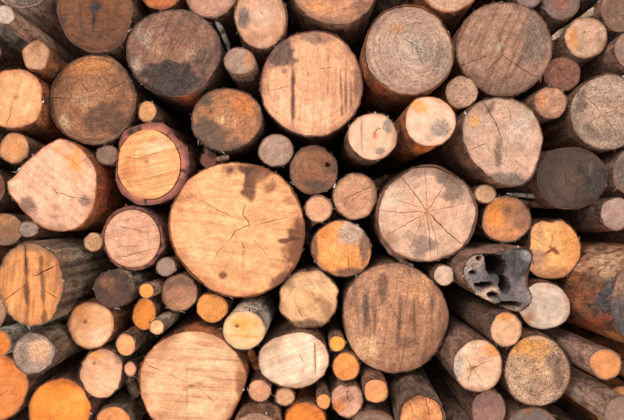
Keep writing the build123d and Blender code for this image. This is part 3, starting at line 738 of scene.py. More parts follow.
def dress(node, *looks, seed=1, in_view=True, open_air=False):
    parts, total = [], 0
    for place, ends in enumerate(logs_of(node)):
        log = Log(ends, looks[place % len(looks)], seed * 17 + place * 5, in_view, open_air)
        if in_view:
            rims.append(log.spots[0])
        *points, faces, kinds = log.data()
        parts.append((*points, faces + total, kinds))
        total += log.total
    spots, tints, skins, marks, spokes, faces, kinds = (np.concatenate(group) for group in zip(*parts))
    mesh = bpy.data.meshes.new(node + "_looks")
    mesh.from_pydata(spots, [], faces.tolist())
    store(mesh, "tint", np.column_stack((tints, np.ones(len(tints)))))
    store(mesh, "marks", marks)
    store(mesh, "skin", skins)
    store(mesh, "spoke", spokes)
    mesh.materials.append(wood_material)
    mesh.materials.append(bark_material)
    mesh.polygons.foreach_set("material_index", kinds)
    mesh.polygons.foreach_set("use_smooth", np.ones(len(kinds), bool))
    mesh.set_sharp_from_angle(angle=math.radians(48))
    mesh.update()
    thing = bpy.data.objects.new(node + "_looks", mesh)
    bpy.context.scene.collection.objects.link(thing)
    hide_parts(node)
    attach(thing, "root")


dress("giant_log", dict(
    seen=(237.5, 229), wood=(244, 180, 122), heart=(246, 188, 130), rim=(200, 136, 92), rings=0.12, saw=0.5,
    saw_turn=-8, specks=0.15, pith=(0.06, -0.02), bark="orange", bark_thick=0.007, bark_edge=0.45, gap=0.4,
    patches=(
        (248, 167, 27, 10, 8, 0.8, (104, 68, 52), 0.95), (250, 184, 8, 22, 0, 0.8, (90, 58, 46), 0.9),
        (262, 174, 16, 8, 30, 0.9, (132, 86, 60), 0.85), (300, 246, 15, 44, -4, 0.7, (118, 72, 50), 0.95),
        (288, 239, 17, 3.5, 4, 0.8, (92, 56, 44), 0.9), (228, 158, 10, 5, 0, 0.8, (150, 118, 98), 0.8),
        (286, 196, 16, 8, -48, 0.9, (150, 92, 62), 0.75), (284, 278, 14, 9, 40, 0.8, (104, 68, 52), 0.85),
        (272, 186, 10, 12, -40, 0.8, (158, 100, 66), 0.85), (191, 196, 4, 4, 0, 0.8, (150, 92, 64), 0.7),
        (200, 200, 22, 26, 20, 1.6, (238, 172, 116), 0.6), (244, 262, 2, 22, 2, 1.0, (176, 112, 74), 0.7),
        (240, 274, 34, 14, 0, 1.4, (216, 148, 98), 0.5), (262, 208, 26, 16, 30, 1.4, (214, 146, 98), 0.5),
        (205, 250, 24, 18, -20, 1.4, (232, 186, 142), 0.6), (224, 275, 5, 4, 0, 0.7, (120, 70, 46), 0.85),
        (224, 160, 8, 5, 0, 1.0, (196, 160, 132), 0.8),
    ),
    cracks=(
        (2.6, (246, 205), (244, 214), (249, 220), (250, 224), (236, 230), (230, 241)),
        (2.0, (262, 223), (276, 219), (291, 216)), (1.8, (242, 240), (247, 251)),
        (1.6, (232, 216), (214, 206), (200, 199)), (1.4, (254, 238), (270, 256)),
        (1.2, (224, 244), (212, 262)),
    ),
), seed=1)

# The rows around the largest log, each a single log of pine, spruce or aspen that the picture shows apart.
# They are cut by the same saw, and drying has checked and stained each one in its own way.
dress("saw_lined_log", dict(
    tone=(1.0, 1.0, 0.965),
    seen=(193, 384), wood=(246, 194, 150), heart=(244, 192, 148), rim=(196, 142, 104), rings=0.05, saw=0.85,
    saw_turn=-4, rays=0.05, specks=0.25, bark="orange", bark_thick=0.005, gap=0.2,
    patches=(
        (192, 386, 14, 3.5, 18, 1.0, (146, 98, 72), 0.7), (168, 404, 22, 14, 0, 1.4, (226, 166, 118), 0.6),
        (215, 360, 26, 14, 10, 1.4, (236, 196, 158), 0.7), (244, 392, 7, 24, 10, 0.8, (160, 104, 70), 0.8),
        (172, 352, 24, 8, 10, 1.2, (226, 158, 106), 0.5), (150, 372, 8, 12, 0, 1.2, (214, 150, 104), 0.6),
    ),
    cracks=(
        (2.2, (140, 362), (152, 367), (167, 374)), (1.6, (167, 374), (184, 382), (196, 388)),
        (1.8, (198, 388), (207, 396), (216, 404)), (1.1, (186, 380), (188, 368)),
        (1.1, (188, 390), (187, 410)),
    ),
), seed=2)
dress("brown_streaked_log", dict(
    tone=(1.05, 1.06, 1.03),
    seen=(395.6, 319.5), wood=(192, 144, 112), heart=(186, 138, 106), rim=(146, 106, 84), rings=0.12,
    saw=0.7, saw_turn=82, rays=0.15, specks=0.8, bark_thick=0.004, gap=0.35,
    patches=(
        (366, 306, 5, 28, 4, 0.8, (104, 82, 76), 0.85), (384, 292, 7, 22, 0, 0.9, (112, 80, 66), 0.85),
        (399, 326, 3, 38, -2, 0.9, (116, 82, 66), 0.8), (414, 316, 2.4, 34, 2, 0.9, (124, 88, 70), 0.75),
        (375, 330, 2.4, 30, 0, 0.9, (124, 88, 72), 0.7), (356, 300, 4, 24, 8, 0.9, (140, 104, 86), 0.7),
        (408, 345, 12, 8, 0, 1.0, (128, 92, 74), 0.7), (366, 348, 20, 13, 20, 0.9, (228, 178, 138), 0.95),
        (420, 290, 13, 24, -20, 1.0, (216, 160, 118), 0.9), (432, 322, 3, 34, 0, 0.9, (150, 112, 92), 0.7),
        (350, 320, 6, 16, 0, 1.0, (196, 142, 104), 0.7),
    ),
    cracks=(
        (1.8, (389, 305), (395, 315), (404, 326)), (1.2, (372, 300), (374, 322)),
        (1.2, (416, 296), (420, 310)),
    ),
), seed=3)
dress("two_striped_log", dict(
    seen=(313.5, 85), wood=(240, 182, 136), heart=(238, 176, 128), rim=(182, 130, 98), rings=0.25, saw=0.5,
    saw_turn=86, rays=0.2, specks=0.3, bark="mauve", pith=(-0.05, 0.08),
    patches=(
        (295, 86, 3.0, 50, 0, 0.8, (128, 88, 66), 0.9), (295, 96, 1.4, 34, 0, 0.7, (78, 52, 42), 0.9),
        (343, 90, 1.5, 36, 2, 0.8, (116, 80, 62), 0.85), (348, 94, 1.3, 28, 0, 0.8, (126, 88, 68), 0.8),
        (353, 95, 1.3, 22, 0, 0.8, (126, 88, 68), 0.8), (330, 74, 1.2, 24, 0, 0.8, (150, 106, 80), 0.6),
        (283, 56, 18, 23, 35, 0.5, (104, 80, 68), 0.95), (318, 40, 22, 8, 0, 0.8, (140, 108, 90), 0.8),
        (361, 76, 7, 26, 0, 0.9, (140, 104, 86), 0.75), (318, 112, 20, 16, 0, 1.3, (240, 190, 148), 0.7),
        (279, 104, 9, 18, 0, 1.2, (236, 186, 148), 0.7),
    ),
    cracks=((1.4, (311, 78), (308, 68)), (1.3, (270, 92), (290, 88)), (1.3, (322, 70), (336, 68))),
), seed=4)
dress("split_star_log", dict(
    tone=(0.95, 0.965, 0.96),
    seen=(430, 217.5), wood=(228, 184, 152), heart=(226, 172, 132), rim=(190, 148, 118), rings=0.08,
    saw=0.3, saw_turn=20, rays=0.15, specks=0.35, bark_thick=0.010, gap=0.6,
    patches=(
        (458, 192, 22, 17, -42, 0.7, (150, 122, 104), 0.9), (424, 174, 24, 8, 0, 0.8, (164, 132, 112), 0.7),
        (424, 246, 15, 18, 6, 0.7, (150, 122, 104), 0.85),
        (392, 244, 15, 13, -40, 0.9, (164, 118, 88), 0.8), (452, 244, 12, 12, 0, 1.1, (206, 164, 134), 0.6),
        (398, 200, 20, 14, 30, 1.3, (236, 206, 178), 0.7), (430, 216, 5, 5, 0, 1.2, (160, 96, 62), 0.8),
    ),
    cracks=(
        (2.6, (429, 214), (416, 196), (403, 178)), (2.0, (428, 216), (404, 217), (380, 214)),
        (1.8, (428, 218), (408, 229), (387, 241)), (1.8, (430, 219), (432, 240), (433, 265)),
        (1.6, (432, 220), (438, 240), (441, 262)), (3.0, (433, 219), (450, 236), (467, 252)),
        (1.6, (434, 215), (455, 211), (472, 206)), (1.5, (432, 213), (444, 194), (454, 176)),
        (1.5, (430, 212), (429, 190), (428, 172)), (1.4, (427, 220), (418, 240), (412, 256)),
        (1.3, (424, 212), (398, 204)),
    ),
), seed=5)
dress("ringed_grey_log", dict(
    tone=(0.89, 0.91, 0.9),
    seen=(411, 51.7), wood=(204, 168, 142), heart=(212, 186, 162), rim=(176, 136, 112), rings=0.4, saw=0.3,
    saw_turn=10, rays=0.15, specks=0.75, bark="orange", bark_edge=0.4, gap=0.7, pith=(0.17, 0.05),
    patches=(
        (438, 62, 18, 26, 20, 1.2, (164, 140, 124), 0.75), (398, 32, 8, 6, 0, 1.0, (216, 146, 92), 0.8),
        (418, 48, 11, 10, 0, 1.4, (198, 184, 170), 0.7), (386, 70, 14, 14, 0, 1.3, (206, 160, 130), 0.6),
        (419, 49, 1.6, 1.6, 0, 0.9, (92, 66, 52), 0.9),
    ),
    skin_patches=(
        (378, 92, 30, 16, 30, 1.0, (231, 110, 49), 0.85), (410, 100, 20, 8, 0, 1.0, (220, 114, 60), 0.7),
    ),
    cracks=((1.4, (419, 47), (404, 40)), (1.3, (420, 53), (424, 66))),
), seed=6)
dress("cracked_tan_log", dict(
    tone=(0.89, 0.9, 0.89),
    seen=(504.5, 50), wood=(190, 148, 120), heart=(196, 152, 120), rim=(150, 116, 94), rings=0.25, saw=0.9,
    saw_turn=65, rays=0.2, specks=0.8, gap=0.3, pith=(0, -0.1),
    patches=(
        (536, 40, 15, 34, -14, 0.8, (146, 122, 106), 0.85), (482, 34, 16, 18, 0, 1.3, (204, 162, 132), 0.7),
        (504, 84, 26, 10, 0, 1.1, (152, 116, 94), 0.6), (500, 47, 7, 3, 0, 1.1, (226, 204, 178), 0.7),
        (466, 64, 9, 12, 0, 1.0, (206, 160, 126), 0.6),
    ),
    cracks=(
        (2.0, (503, 56), (494, 65), (485, 74)), (2.4, (504, 56), (520, 68), (542, 81)),
        (1.6, (460, 66), (472, 62), (492, 55)), (1.3, (504, 53), (500, 40)),
    ),
), seed=7)
dress("double_heart_log", dict(
    tone=(0.92, 0.945, 0.945),
    seen=(501, 146), wood=(220, 176, 146), heart=(222, 178, 146), rim=(176, 138, 112), rings=0.15,
    saw_turn=-30, rays=0.15, specks=0.5, bark_thick=0.005, gap=0.3,
    patches=(
        (474, 124, 5, 9, -30, 0.8, (244, 170, 96), 0.9), (500, 184, 30, 8, 0, 0.8, (132, 110, 96), 0.85),
        (498, 158, 5, 16, 0, 0.9, (128, 102, 86), 0.8), (489, 112, 4, 14, -40, 0.9, (120, 88, 70), 0.8),
        (520, 128, 16, 20, 0, 1.3, (234, 206, 180), 0.7), (474, 154, 9, 18, 30, 1.2, (228, 176, 142), 0.7),
    ),
    cracks=(
        (2.6, (480, 104), (492, 122), (500, 140), (503, 158)), (1.8, (465, 156), (475, 151), (486, 147)),
        (1.3, (508, 112), (510, 126)), (1.2, (516, 166), (524, 172)),
    ),
    skin_patches=((466, 176, 16, 10, 40, 1.0, (150, 84, 46), 0.8),),
), seed=8)

# The logs at the left edge and along the top, barked roundwood that has lain longer. Their ends are brown
# to nearly black where they are wet, and their bark shows orange below where it has flaked.
dress("teardrop_log", dict(
    seen=(58, 184), wood=(238, 188, 152), heart=(238, 186, 148), rim=(198, 148, 114), rings=0.15, saw=0.5,
    saw_turn=-40, rays=0.2, specks=0.3, bark="orange", bark_thick=0.005, gap=0.3,
    patches=(
        (34, 203, 11, 14, 10, 0.8, (140, 112, 96), 0.85), (90, 201, 8, 6, -20, 0.9, (122, 92, 78), 0.8),
        (82, 160, 15, 22, 38, 1.3, (242, 152, 74), 0.85), (66, 148, 8, 7, 0, 1.0, (236, 160, 96), 0.8),
        (20, 184, 12, 7, 0, 1.1, (238, 202, 160), 0.8), (58, 210, 16, 10, 0, 1.1, (214, 164, 128), 0.5),
    ),
    cracks=((1.8, (60, 188), (64, 194)), (1.8, (64, 192), (80, 196), (98, 199))),
    skin_patches=(
        (104, 190, 12, 30, 0, 1.0, (232, 104, 42), 0.9), (100, 212, 14, 14, 0, 1.0, (210, 96, 44), 0.8),
    ),
), seed=9)
dress("speckled_brown_log", dict(
    tone=(0.94, 0.92, 0.86),
    seen=(94, 101), wood=(172, 124, 88), heart=(192, 148, 110), rim=(128, 96, 76), rings=0.5, saw_turn=15,
    rays=0.25, specks=1.1, bark_thick=0.005, gap=0.4,
    patches=(
        (88, 68, 30, 12, 0, 0.9, (214, 144, 84), 0.9), (110, 124, 28, 19, -20, 0.5, (118, 84, 62), 0.9),
        (66, 124, 7, 9, 40, 0.7, (214, 192, 164), 0.6), (84, 104, 12, 6, -30, 1.2, (204, 168, 134), 0.7),
        (124, 92, 8, 20, 0, 1.1, (138, 102, 78), 0.7),
    ),
    cracks=(
        (1.8, (108, 92), (117, 87), (127, 82)), (1.8, (50, 100), (62, 100), (72, 101)),
        (1.4, (82, 84), (90, 94)),
    ),
), seed=10)
dress("dark_wedge_log", dict(
    seen=(175.5, 53), wood=(146, 108, 84), heart=(162, 120, 92), rim=(96, 74, 62), rings=0.3, saw=0.9,
    saw_turn=62, rays=0.2, specks=1.2, bark="dark", bark_thick=0.005, gap=0.4,
    patches=(
        (172, 84, 42, 27, 0, 0.35, (66, 54, 49), 0.97), (160, 54, 11, 9, 20, 1.0, (186, 142, 108), 0.85),
        (191, 53, 11, 10, -20, 1.0, (184, 142, 110), 0.8), (144, 36, 7, 12, 30, 0.7, (190, 170, 148), 0.6),
        (138, 66, 8, 10, 0, 0.7, (196, 174, 150), 0.6), (204, 60, 12, 20, 0, 1.2, (104, 84, 72), 0.7),
        (176, 26, 26, 10, 0, 1.2, (138, 104, 82), 0.6),
    ),
    cracks=((1.5, (175, 52), (172, 34)),),
    skin_patches=((192, 100, 34, 9, -22, 0.9, (240, 112, 46), 0.95),),
), seed=11)
dress("tall_oval_log", dict(
    tone=(0.99, 0.975, 0.9),
    seen=(32, 286), wood=(226, 158, 102), heart=(228, 164, 110), rim=(160, 112, 84), rings=0.15, saw=0.7,
    saw_turn=84, rays=0.1, specks=0.3, bark="fibrous", bark_thick=0.005, gap=0.3,
    patches=(
        (28, 288, 3.4, 44, 0, 0.9, (116, 76, 56), 0.95), (44, 288, 3.4, 42, 3, 0.7, (128, 84, 60), 0.9),
        (34, 248, 24, 8, 0, 0.9, (146, 112, 90), 0.8), (14, 270, 10, 18, 0, 1.2, (198, 140, 98), 0.7),
        (56, 280, 10, 26, 0, 1.2, (178, 124, 92), 0.6), (18, 312, 12, 14, 0, 1.2, (230, 172, 120), 0.7),
    ),
    cracks=(
        (3.6, (26, 243), (27, 258), (28, 273)), (3.0, (38, 277), (48, 272), (60, 266)),
        (2.2, (5, 302), (14, 296), (24, 288)), (2.2, (46, 293), (55, 297), (62, 302)),
    ),
), seed=12)
dress("blue_stained_log", dict(
    tone=(0.686, 0.627, 0.527),
    seen=(95, 13.5), wood=(178, 124, 88), heart=(176, 122, 88), rim=(130, 94, 74), rings=0.3, saw=0.5,
    saw_turn=8, rays=0.15, specks=0.8, bark_thick=0.005, gap=0.3,
    patches=(
        (94, 24, 5, 28, 0, 1.2, (84, 72, 70), 0.8), (80, 20, 2, 18, 4, 1.0, (110, 84, 70), 0.6),
        (108, 24, 2, 20, -3, 1.0, (110, 84, 70), 0.6), (95, 12, 8, 4, 10, 0.9, (62, 60, 65), 0.8),
        (63, 25, 4, 4, 0, 0.9, (76, 62, 56), 0.8), (72, 8, 10, 18, 0, 1.3, (186, 136, 108), 0.7),
        (116, 6, 14, 16, 0, 1.2, (206, 142, 92), 0.75), (96, 42, 28, 10, 0, 1.0, (134, 96, 74), 0.7),
    ),
    cracks=((1.3, (94, 20), (93, 36)),),
), seed=13)
dress("top_centre_log", dict(
    seen=(335, -19), wood=(196, 142, 104), heart=(200, 148, 110), rim=(150, 108, 82), rings=0.2, saw=0.5,
    saw_turn=12, rays=0.2, specks=0.7, bark_thick=0.005, gap=0.3,
    patches=(
        (362, 8, 14, 12, 0, 1.0, (136, 100, 80), 0.8), (318, 8, 18, 8, 0, 1.2, (222, 152, 98), 0.7),
        (336, 22, 22, 5, 0, 1.0, (140, 104, 84), 0.6),
    ),
    cracks=((1.4, (334, -14), (336, 4)),),
), seed=14)

# The two large logs that the picture's right edge cuts. One is grey and split in a star by drying, the
# other shows a band of slate-blue bark beside a patch of pale, bared wood.
dress("star_cracked_log", dict(
    tone=(0.89, 0.92, 0.9),
    seen=(609, 114), wood=(204, 168, 142), heart=(204, 164, 136), rim=(156, 130, 112), rings=0.15, saw=0.3,
    saw_turn=-35, rays=0.25, specks=1.1, bark_thick=0.005, gap=0.4,
    patches=(
        (582, 110, 8, 22, -20, 0.8, (122, 100, 86), 0.85), (590, 134, 14, 7, -40, 0.9, (132, 108, 92), 0.75),
        (612, 92, 18, 12, 0, 1.2, (216, 190, 164), 0.6), (618, 136, 18, 12, 0, 1.1, (150, 124, 106), 0.6),
    ),
    cracks=(
        (1.8, (605, 117), (594, 104), (580, 94)), (1.6, (605, 117), (614, 130), (620, 142)),
        (1.5, (605, 117), (590, 126)), (1.4, (606, 116), (620, 112)),
    ),
    skin_patches=((574, 142, 12, 12, 0, 1.1, (96, 62, 42), 0.7),),
), seed=15)
dress("blue_banded_log", dict(
    seen=(665, 300), wood=(166, 124, 96), heart=(170, 126, 96), rim=(96, 84, 78), rings=0.3, saw_turn=10,
    specks=0.9, bark="orange", bark_thick=0.002,
    patches=(
        (620, 318, 16, 24, 0, 0.9, (74, 78, 84), 0.85), (624, 284, 12, 16, 0, 1.1, (150, 120, 98), 0.7),
    ),
    skin_patches=(
        (608, 299, 30, 19, 35, 0.5, (74, 82, 92), 0.97), (604, 262, 34, 20, 12, 0.8, (255, 206, 164), 0.95),
        (580, 268, 8, 3.4, 10, 0.7, (250, 206, 168), 0.9), (590, 324, 34, 7, 24, 0.9, (206, 92, 38), 0.9),
        (576, 300, 12, 16, 0, 1.0, (186, 108, 66), 0.7), (588, 284, 14, 8, 20, 0.9, (150, 112, 92), 0.8),
    ),
), seed=16)

# The rotten log and the lobed log at the right. The first is a grey stem whose heart has decayed and
# fallen out in pockets, the second grew with ribs and has a split heart.
dress("hollow_log", dict(
    seen=(497, 277), wood=(120, 112, 108), heart=(92, 86, 84), rim=(142, 128, 116), rings=0.0, saw=0.1,
    rays=0.0, specks=0.9, bark="grey", bark_thick=0.004, gap=0.5, lumps=0.045,
    patches=(
        (498, 262, 20, 19, 0, 0.8, (44, 42, 42), 0.9), (518, 262, 12, 22, 10, 0.9, (74, 74, 74), 0.85),
        (473, 259, 12, 13, 0, 0.7, (166, 142, 124), 0.9), (482, 294, 20, 6, 28, 0.7, (196, 164, 138), 0.9),
        (506, 306, 14, 5, 10, 0.7, (178, 150, 128), 0.8), (527, 250, 5, 12, -20, 0.9, (150, 142, 134), 0.7),
        (512, 292, 12, 8, 0, 0.9, (108, 98, 92), 0.7),
    ),
    hollows=(
        (494, 263, 11, 10, 0.14), (504, 282, 5, 9, 0.09), (481, 282, 10, 2.6, 0.06),
        (491, 292, 6, 2.6, 0.05), (508, 302, 11, 3, 0.06), (478, 256, 1.8, 1.8, 0.03),
        (484, 252, 1.6, 1.6, 0.03), (472, 270, 4, 2.2, 0.04),
    ),
    cracks=((1.8, (516, 252), (512, 272)), (1.6, (498, 300), (494, 290))),
), seed=17)
dress("lobed_log", dict(
    tone=(1.02, 1.07, 1.08),
    seen=(555, 250), wood=(248, 174, 108), heart=(252, 184, 120), rim=(190, 124, 88), rings=0.15, saw=0.3,
    saw_turn=25, specks=0.35, bark_thick=0.004, gap=0.3,
    patches=(
        (572, 244, 13, 26, 0, 1.1, (240, 158, 88), 0.85),
        (538, 262, 10, 16, 20, 1.0, (184, 134, 110), 0.85), (556, 274, 18, 8, 0, 1.0, (196, 132, 96), 0.7),
        (540, 232, 8, 12, 0, 1.1, (206, 146, 110), 0.7), (552, 251, 9, 2.6, 35, 0.8, (122, 54, 36), 0.9),
        (554, 250, 8, 2.6, -40, 0.8, (130, 58, 38), 0.9), (553, 238, 2, 10, 0, 0.9, (168, 98, 68), 0.7),
    ),
    cracks=((1.4, (546, 246), (530, 236)), (1.2, (562, 246), (576, 238))),
), seed=18)

# The middle-sized logs between the large ones: fresh, pale softwood and darker, older ends, with bark
# from a thin skin to a thick pink ring with notches. Each rests on the two or three logs below it.
dress("cream_oval_log", dict(
    tone=(1.045, 1.055, 1.03),
    seen=(295, 361), wood=(244, 210, 180), heart=(244, 212, 182), rim=(200, 160, 130), rings=0.12, saw=0.5,
    saw_turn=20, rays=0.1, specks=0.15, bark_thick=0.004, gap=0.3,
    patches=(
        (316, 362, 1.6, 22, 0, 0.8, (150, 108, 84), 0.7), (274, 352, 12, 14, 0, 1.3, (230, 184, 150), 0.6),
        (304, 372, 3, 4, 0, 1.0, (214, 150, 104), 0.7), (296, 388, 26, 4, 0, 0.9, (186, 146, 118), 0.7),
    ),
    cracks=((1.3, (316, 344), (317, 376)), (1.2, (300, 356), (306, 364))),
), seed=19)
dress("octagonal_log", dict(
    tone=(1.04, 1.06, 1.0),
    seen=(309.7, 302.8), wood=(222, 174, 132), heart=(222, 170, 124), rim=(164, 118, 88), rings=0.15,
    saw_turn=-50, rays=0.15, specks=0.35, bark_thick=0.005, gap=0.4,
    patches=(
        (290, 288, 12, 9, -30, 0.8, (150, 112, 88), 0.85), (326, 312, 9, 14, 20, 0.9, (160, 116, 86), 0.8),
        (308, 328, 24, 5, 0, 0.8, (104, 76, 62), 0.85), (316, 292, 9, 4, -30, 1.0, (238, 200, 160), 0.7),
        (318, 304, 4, 3, 0, 0.9, (160, 104, 70), 0.7),
    ),
    cracks=((1.3, (311, 296), (316, 300)), (1.2, (300, 314), (304, 322))),
), seed=20)
dress("orange_topped_log", dict(
    tone=(1.06, 1.156, 1.2),
    seen=(539.8, 370.6), wood=(196, 150, 113), heart=(206, 151, 110), rim=(146, 111, 88), rings=0.1,
    saw=0.2, saw_turn=15, rays=0.05, specks=1.3, bark_thick=0.005, gap=0.3,
    patches=(
        (532, 347, 28, 14, -8, 0.8, (240, 154, 80), 0.95), (556, 362, 10, 14, 0, 1.0, (146, 112, 92), 0.8),
        (528, 384, 16, 14, 0, 1.2, (198, 158, 126), 0.6),
        (546, 388, 22, 12, 10, 0.9, (150, 109, 86), 0.75), (561, 374, 7, 16, 0, 0.8, (128, 93, 73), 0.7),
        (538, 373, 3, 3, 0, 1.0, (206, 132, 82), 0.8),
    ),
), seed=21)
dress("thick_barked_log", dict(
    tone=(1.0, 1.07, 1.18),
    seen=(156, 166), wood=(246, 166, 96), heart=(248, 174, 108), rim=(206, 128, 74), rings=0.05, saw=0.9,
    saw_turn=14, rays=0.15, specks=0.25, bark="mauve", bark_thick=0.026, gap=0.8,
    wood_round=(152, 167, 32, 35), bark_edge=2.0,
    patches=(
        (132, 168, 8, 22, 0, 1.1, (214, 128, 72), 0.7), (160, 150, 18, 10, 0, 1.3, (240, 188, 134), 0.7),
        (150, 164, 3, 3, 0, 1.0, (170, 98, 58), 0.8),
    ),
    cracks=((1.2, (138, 150), (139, 176)), (1.2, (120, 158), (146, 162))),
), seed=22)
dress("pink_barked_log", dict(
    tone=(0.95, 0.93, 0.89),
    seen=(134, 243), wood=(234, 184, 150), heart=(234, 182, 146), rim=(206, 154, 124), rings=0.05, saw=0.6,
    saw_turn=12, rays=0.1, bark="mauve", bark_thick=0.020, gap=0.85, wood_round=(133, 243.5, 28, 29.5),
    bark_edge=1.8,
    patches=(
        (122, 232, 12, 10, 0, 1.3, (234, 196, 168), 0.6), (142, 258, 12, 7, 0, 1.2, (206, 150, 118), 0.6),
    ),
    cracks=((1.2, (116, 230), (150, 238)), (1.2, (118, 252), (148, 250)), (1.2, (122, 262), (146, 256))),
), seed=23)
dress("yellow_hearted_log", dict(
    tone=(0.97, 0.93, 0.85),
    seen=(227.5, 120.5), wood=(178, 128, 90), heart=(196, 148, 108), rim=(140, 100, 76), rings=0.2,
    saw_turn=30, rays=0.15, specks=1.1, bark="dark", bark_thick=0.005, gap=0.4,
    patches=(
        (210, 132, 20, 24, 25, 0.6, (104, 86, 74), 0.9), (226, 146, 26, 9, 0, 0.8, (112, 90, 76), 0.8),
        (245, 104, 17, 15, -30, 1.0, (224, 140, 80), 0.9), (207, 103, 10, 9, 0, 0.9, (74, 64, 62), 0.75),
        (222, 121, 5, 7, 20, 0.8, (236, 200, 152), 0.9), (212, 112, 4, 6, 0, 0.9, (84, 66, 56), 0.8),
        (232, 96, 14, 6, 0, 1.0, (196, 128, 82), 0.7),
    ),
), seed=24)
dress("charcoal_log", dict(
    tone=(0.94, 0.92, 0.86),
    seen=(574, 178), wood=(84, 68, 60), heart=(96, 76, 64), rim=(76, 62, 54), rings=0.2, saw=0.3,
    saw_turn=25, rays=0.1, specks=0.7, bark="grey", bark_thick=0.004, bark_edge=0.4, gap=0.3,
    patches=(
        (594, 176, 14, 22, 0, 1.0, (60, 54, 52), 0.8), (566, 182, 12, 16, 0, 1.2, (112, 84, 68), 0.7),
        (592, 168, 3, 9, 0, 0.9, (130, 122, 114), 0.5),
    ),
    cracks=((1.3, (566, 170), (568, 186)),),
), seed=25)
dress("white_cornered_log", dict(
    seen=(343, 250), wood=(240, 160, 86), heart=(242, 168, 98), rim=(150, 104, 78), rings=0.15,
    saw_turn=-30, rays=0.1, specks=0.5, bark="dark", bark_thick=0.004, gap=0.3,
    patches=(
        (354, 232, 17, 14, 25, 0.6, (196, 168, 146), 0.9), (367, 250, 6, 18, 0, 0.7, (118, 92, 78), 0.85),
        (352, 274, 18, 5, 0, 0.8, (104, 76, 62), 0.8), (317, 250, 4, 18, 0, 0.8, (110, 80, 64), 0.8),
        (334, 256, 12, 14, 0, 1.2, (238, 166, 98), 0.7), (324, 232, 9, 8, 0, 0.9, (232, 140, 72), 0.7),
    ),
    cracks=((1.5, (350, 258), (352, 274)),),
), seed=26)

# The small single logs: birch with its white, dark-flecked bark, and softwood from pale cream to bright
# orange. They are cut like the large ones and fill the spaces between them.
dress("birch_log", dict(
    tone=(0.98, 0.9, 0.82),
    seen=(245, 331), wood=(242, 208, 162), heart=(240, 186, 116), rim=(210, 178, 138), rings=0.2, saw=0.3,
    saw_turn=4, rays=0.05, specks=0.15, bark="birch", bark_thick=0.003, gap=0.2, pith=(-0.3, 0.15),
    patches=(
        (243, 322, 20, 8, 0, 0.8, (236, 178, 96), 0.8), (243, 337, 18, 2.5, -3, 0.8, (226, 160, 84), 0.7),
        (238, 327, 2.6, 2.4, 0, 0.9, (112, 74, 50), 0.9),
    ),
    # The first bark patch is the birch's white bark with a painted highlight: lighter than the bark, so that
    # its top, which lies in shade under the largest log, looks lit
    skin_patches=(
        (246, 300, 26, 13, 0, 1.0, (250, 242, 232), 0.8), (263, 305, 2.6, 3, 0, 0.8, (66, 48, 40), 0.9),
        (247, 308, 1, 8, 0, 0.9, (92, 74, 62), 0.7), (236, 300, 8, 3, 0, 1.0, (150, 126, 104), 0.5),
    ),
), seed=27)
dress("pale_cream_log", dict(
    seen=(546, 308), wood=(255, 233, 204), heart=(255, 232, 202), rim=(226, 180, 150), rings=0.12, saw=0.3,
    saw_turn=-20, rays=0.15, specks=0.1, bark_thick=0.004,
    patches=(
        (530, 320, 10, 8, 30, 1.1, (228, 160, 104), 0.8), (546, 309, 1.4, 1.4, 0, 0.9, (70, 50, 42), 0.95),
        (554, 288, 14, 5, 0, 1.1, (214, 186, 164), 0.6),
    ),
), seed=28)
dress("cream_star_log", dict(
    seen=(479.7, 365.5), wood=(238, 196, 158), heart=(230, 180, 140), rim=(186, 142, 112), rings=0.2,
    saw=0.3, saw_turn=10, specks=0.25, bark="grey", bark_thick=0.005, gap=0.3, pith=(-0.2, -0.1),
    patches=(
        (461, 366, 8, 20, 0, 0.8, (198, 184, 172), 0.85), (494, 350, 12, 12, 0, 1.0, (240, 156, 84), 0.9),
        (474, 368, 6, 3, 30, 1.0, (150, 104, 78), 0.7),
    ),
    cracks=(
        (1.6, (474, 368), (468, 354)), (1.8, (474, 369), (470, 384)), (1.6, (475, 368), (492, 360)),
        (1.5, (475, 369), (486, 382)),
    ),
), seed=29)
dress("grey_stained_log", dict(
    tone=(0.91, 0.895, 0.88),
    seen=(263, 19), wood=(222, 174, 138), heart=(226, 190, 160), rim=(186, 134, 98), rings=0.15, saw=0.3,
    saw_turn=80, rays=0.15, specks=0.3, bark_thick=0.005, gap=0.3, pith=(0.05, 0.15),
    patches=(
        (246, 18, 7, 12, 0, 0.9, (124, 112, 110), 0.85), (256, 38, 18, 7, 20, 1.0, (206, 146, 104), 0.7),
        (268, 14, 11, 8, 0, 0.9, (234, 200, 170), 0.8), (264, 14, 1.6, 1.6, 0, 0.9, (110, 74, 56), 0.85),
        (278, 32, 7, 10, 0, 1.1, (206, 144, 100), 0.6),
    ),
), seed=30)
dress("cream_white_log", dict(
    tone=(0.985, 0.96, 0.93),
    seen=(431.7, 122.5), wood=(224, 192, 162), heart=(226, 192, 160), rim=(204, 158, 124), rings=0.1,
    saw=0.3, saw_turn=-35, rays=0.1, specks=0.1, bark="orange", bark_thick=0.004, gap=0.3,
    patches=(
        (416, 104, 15, 8, -40, 0.9, (240, 158, 88), 0.9), (444, 130, 10, 9, 0, 0.7, (154, 138, 128), 0.85),
        (428, 140, 10, 4, 0, 1.0, (196, 172, 150), 0.6),
    ),
    cracks=((1.2, (440, 126), (450, 134)),),
    skin_patches=(
        (422, 150, 18, 10, 0, 0.9, (255, 133, 45), 0.95), (416, 172, 30, 18, -20, 0.9, (236, 112, 45), 0.9),
    ),
), seed=31)
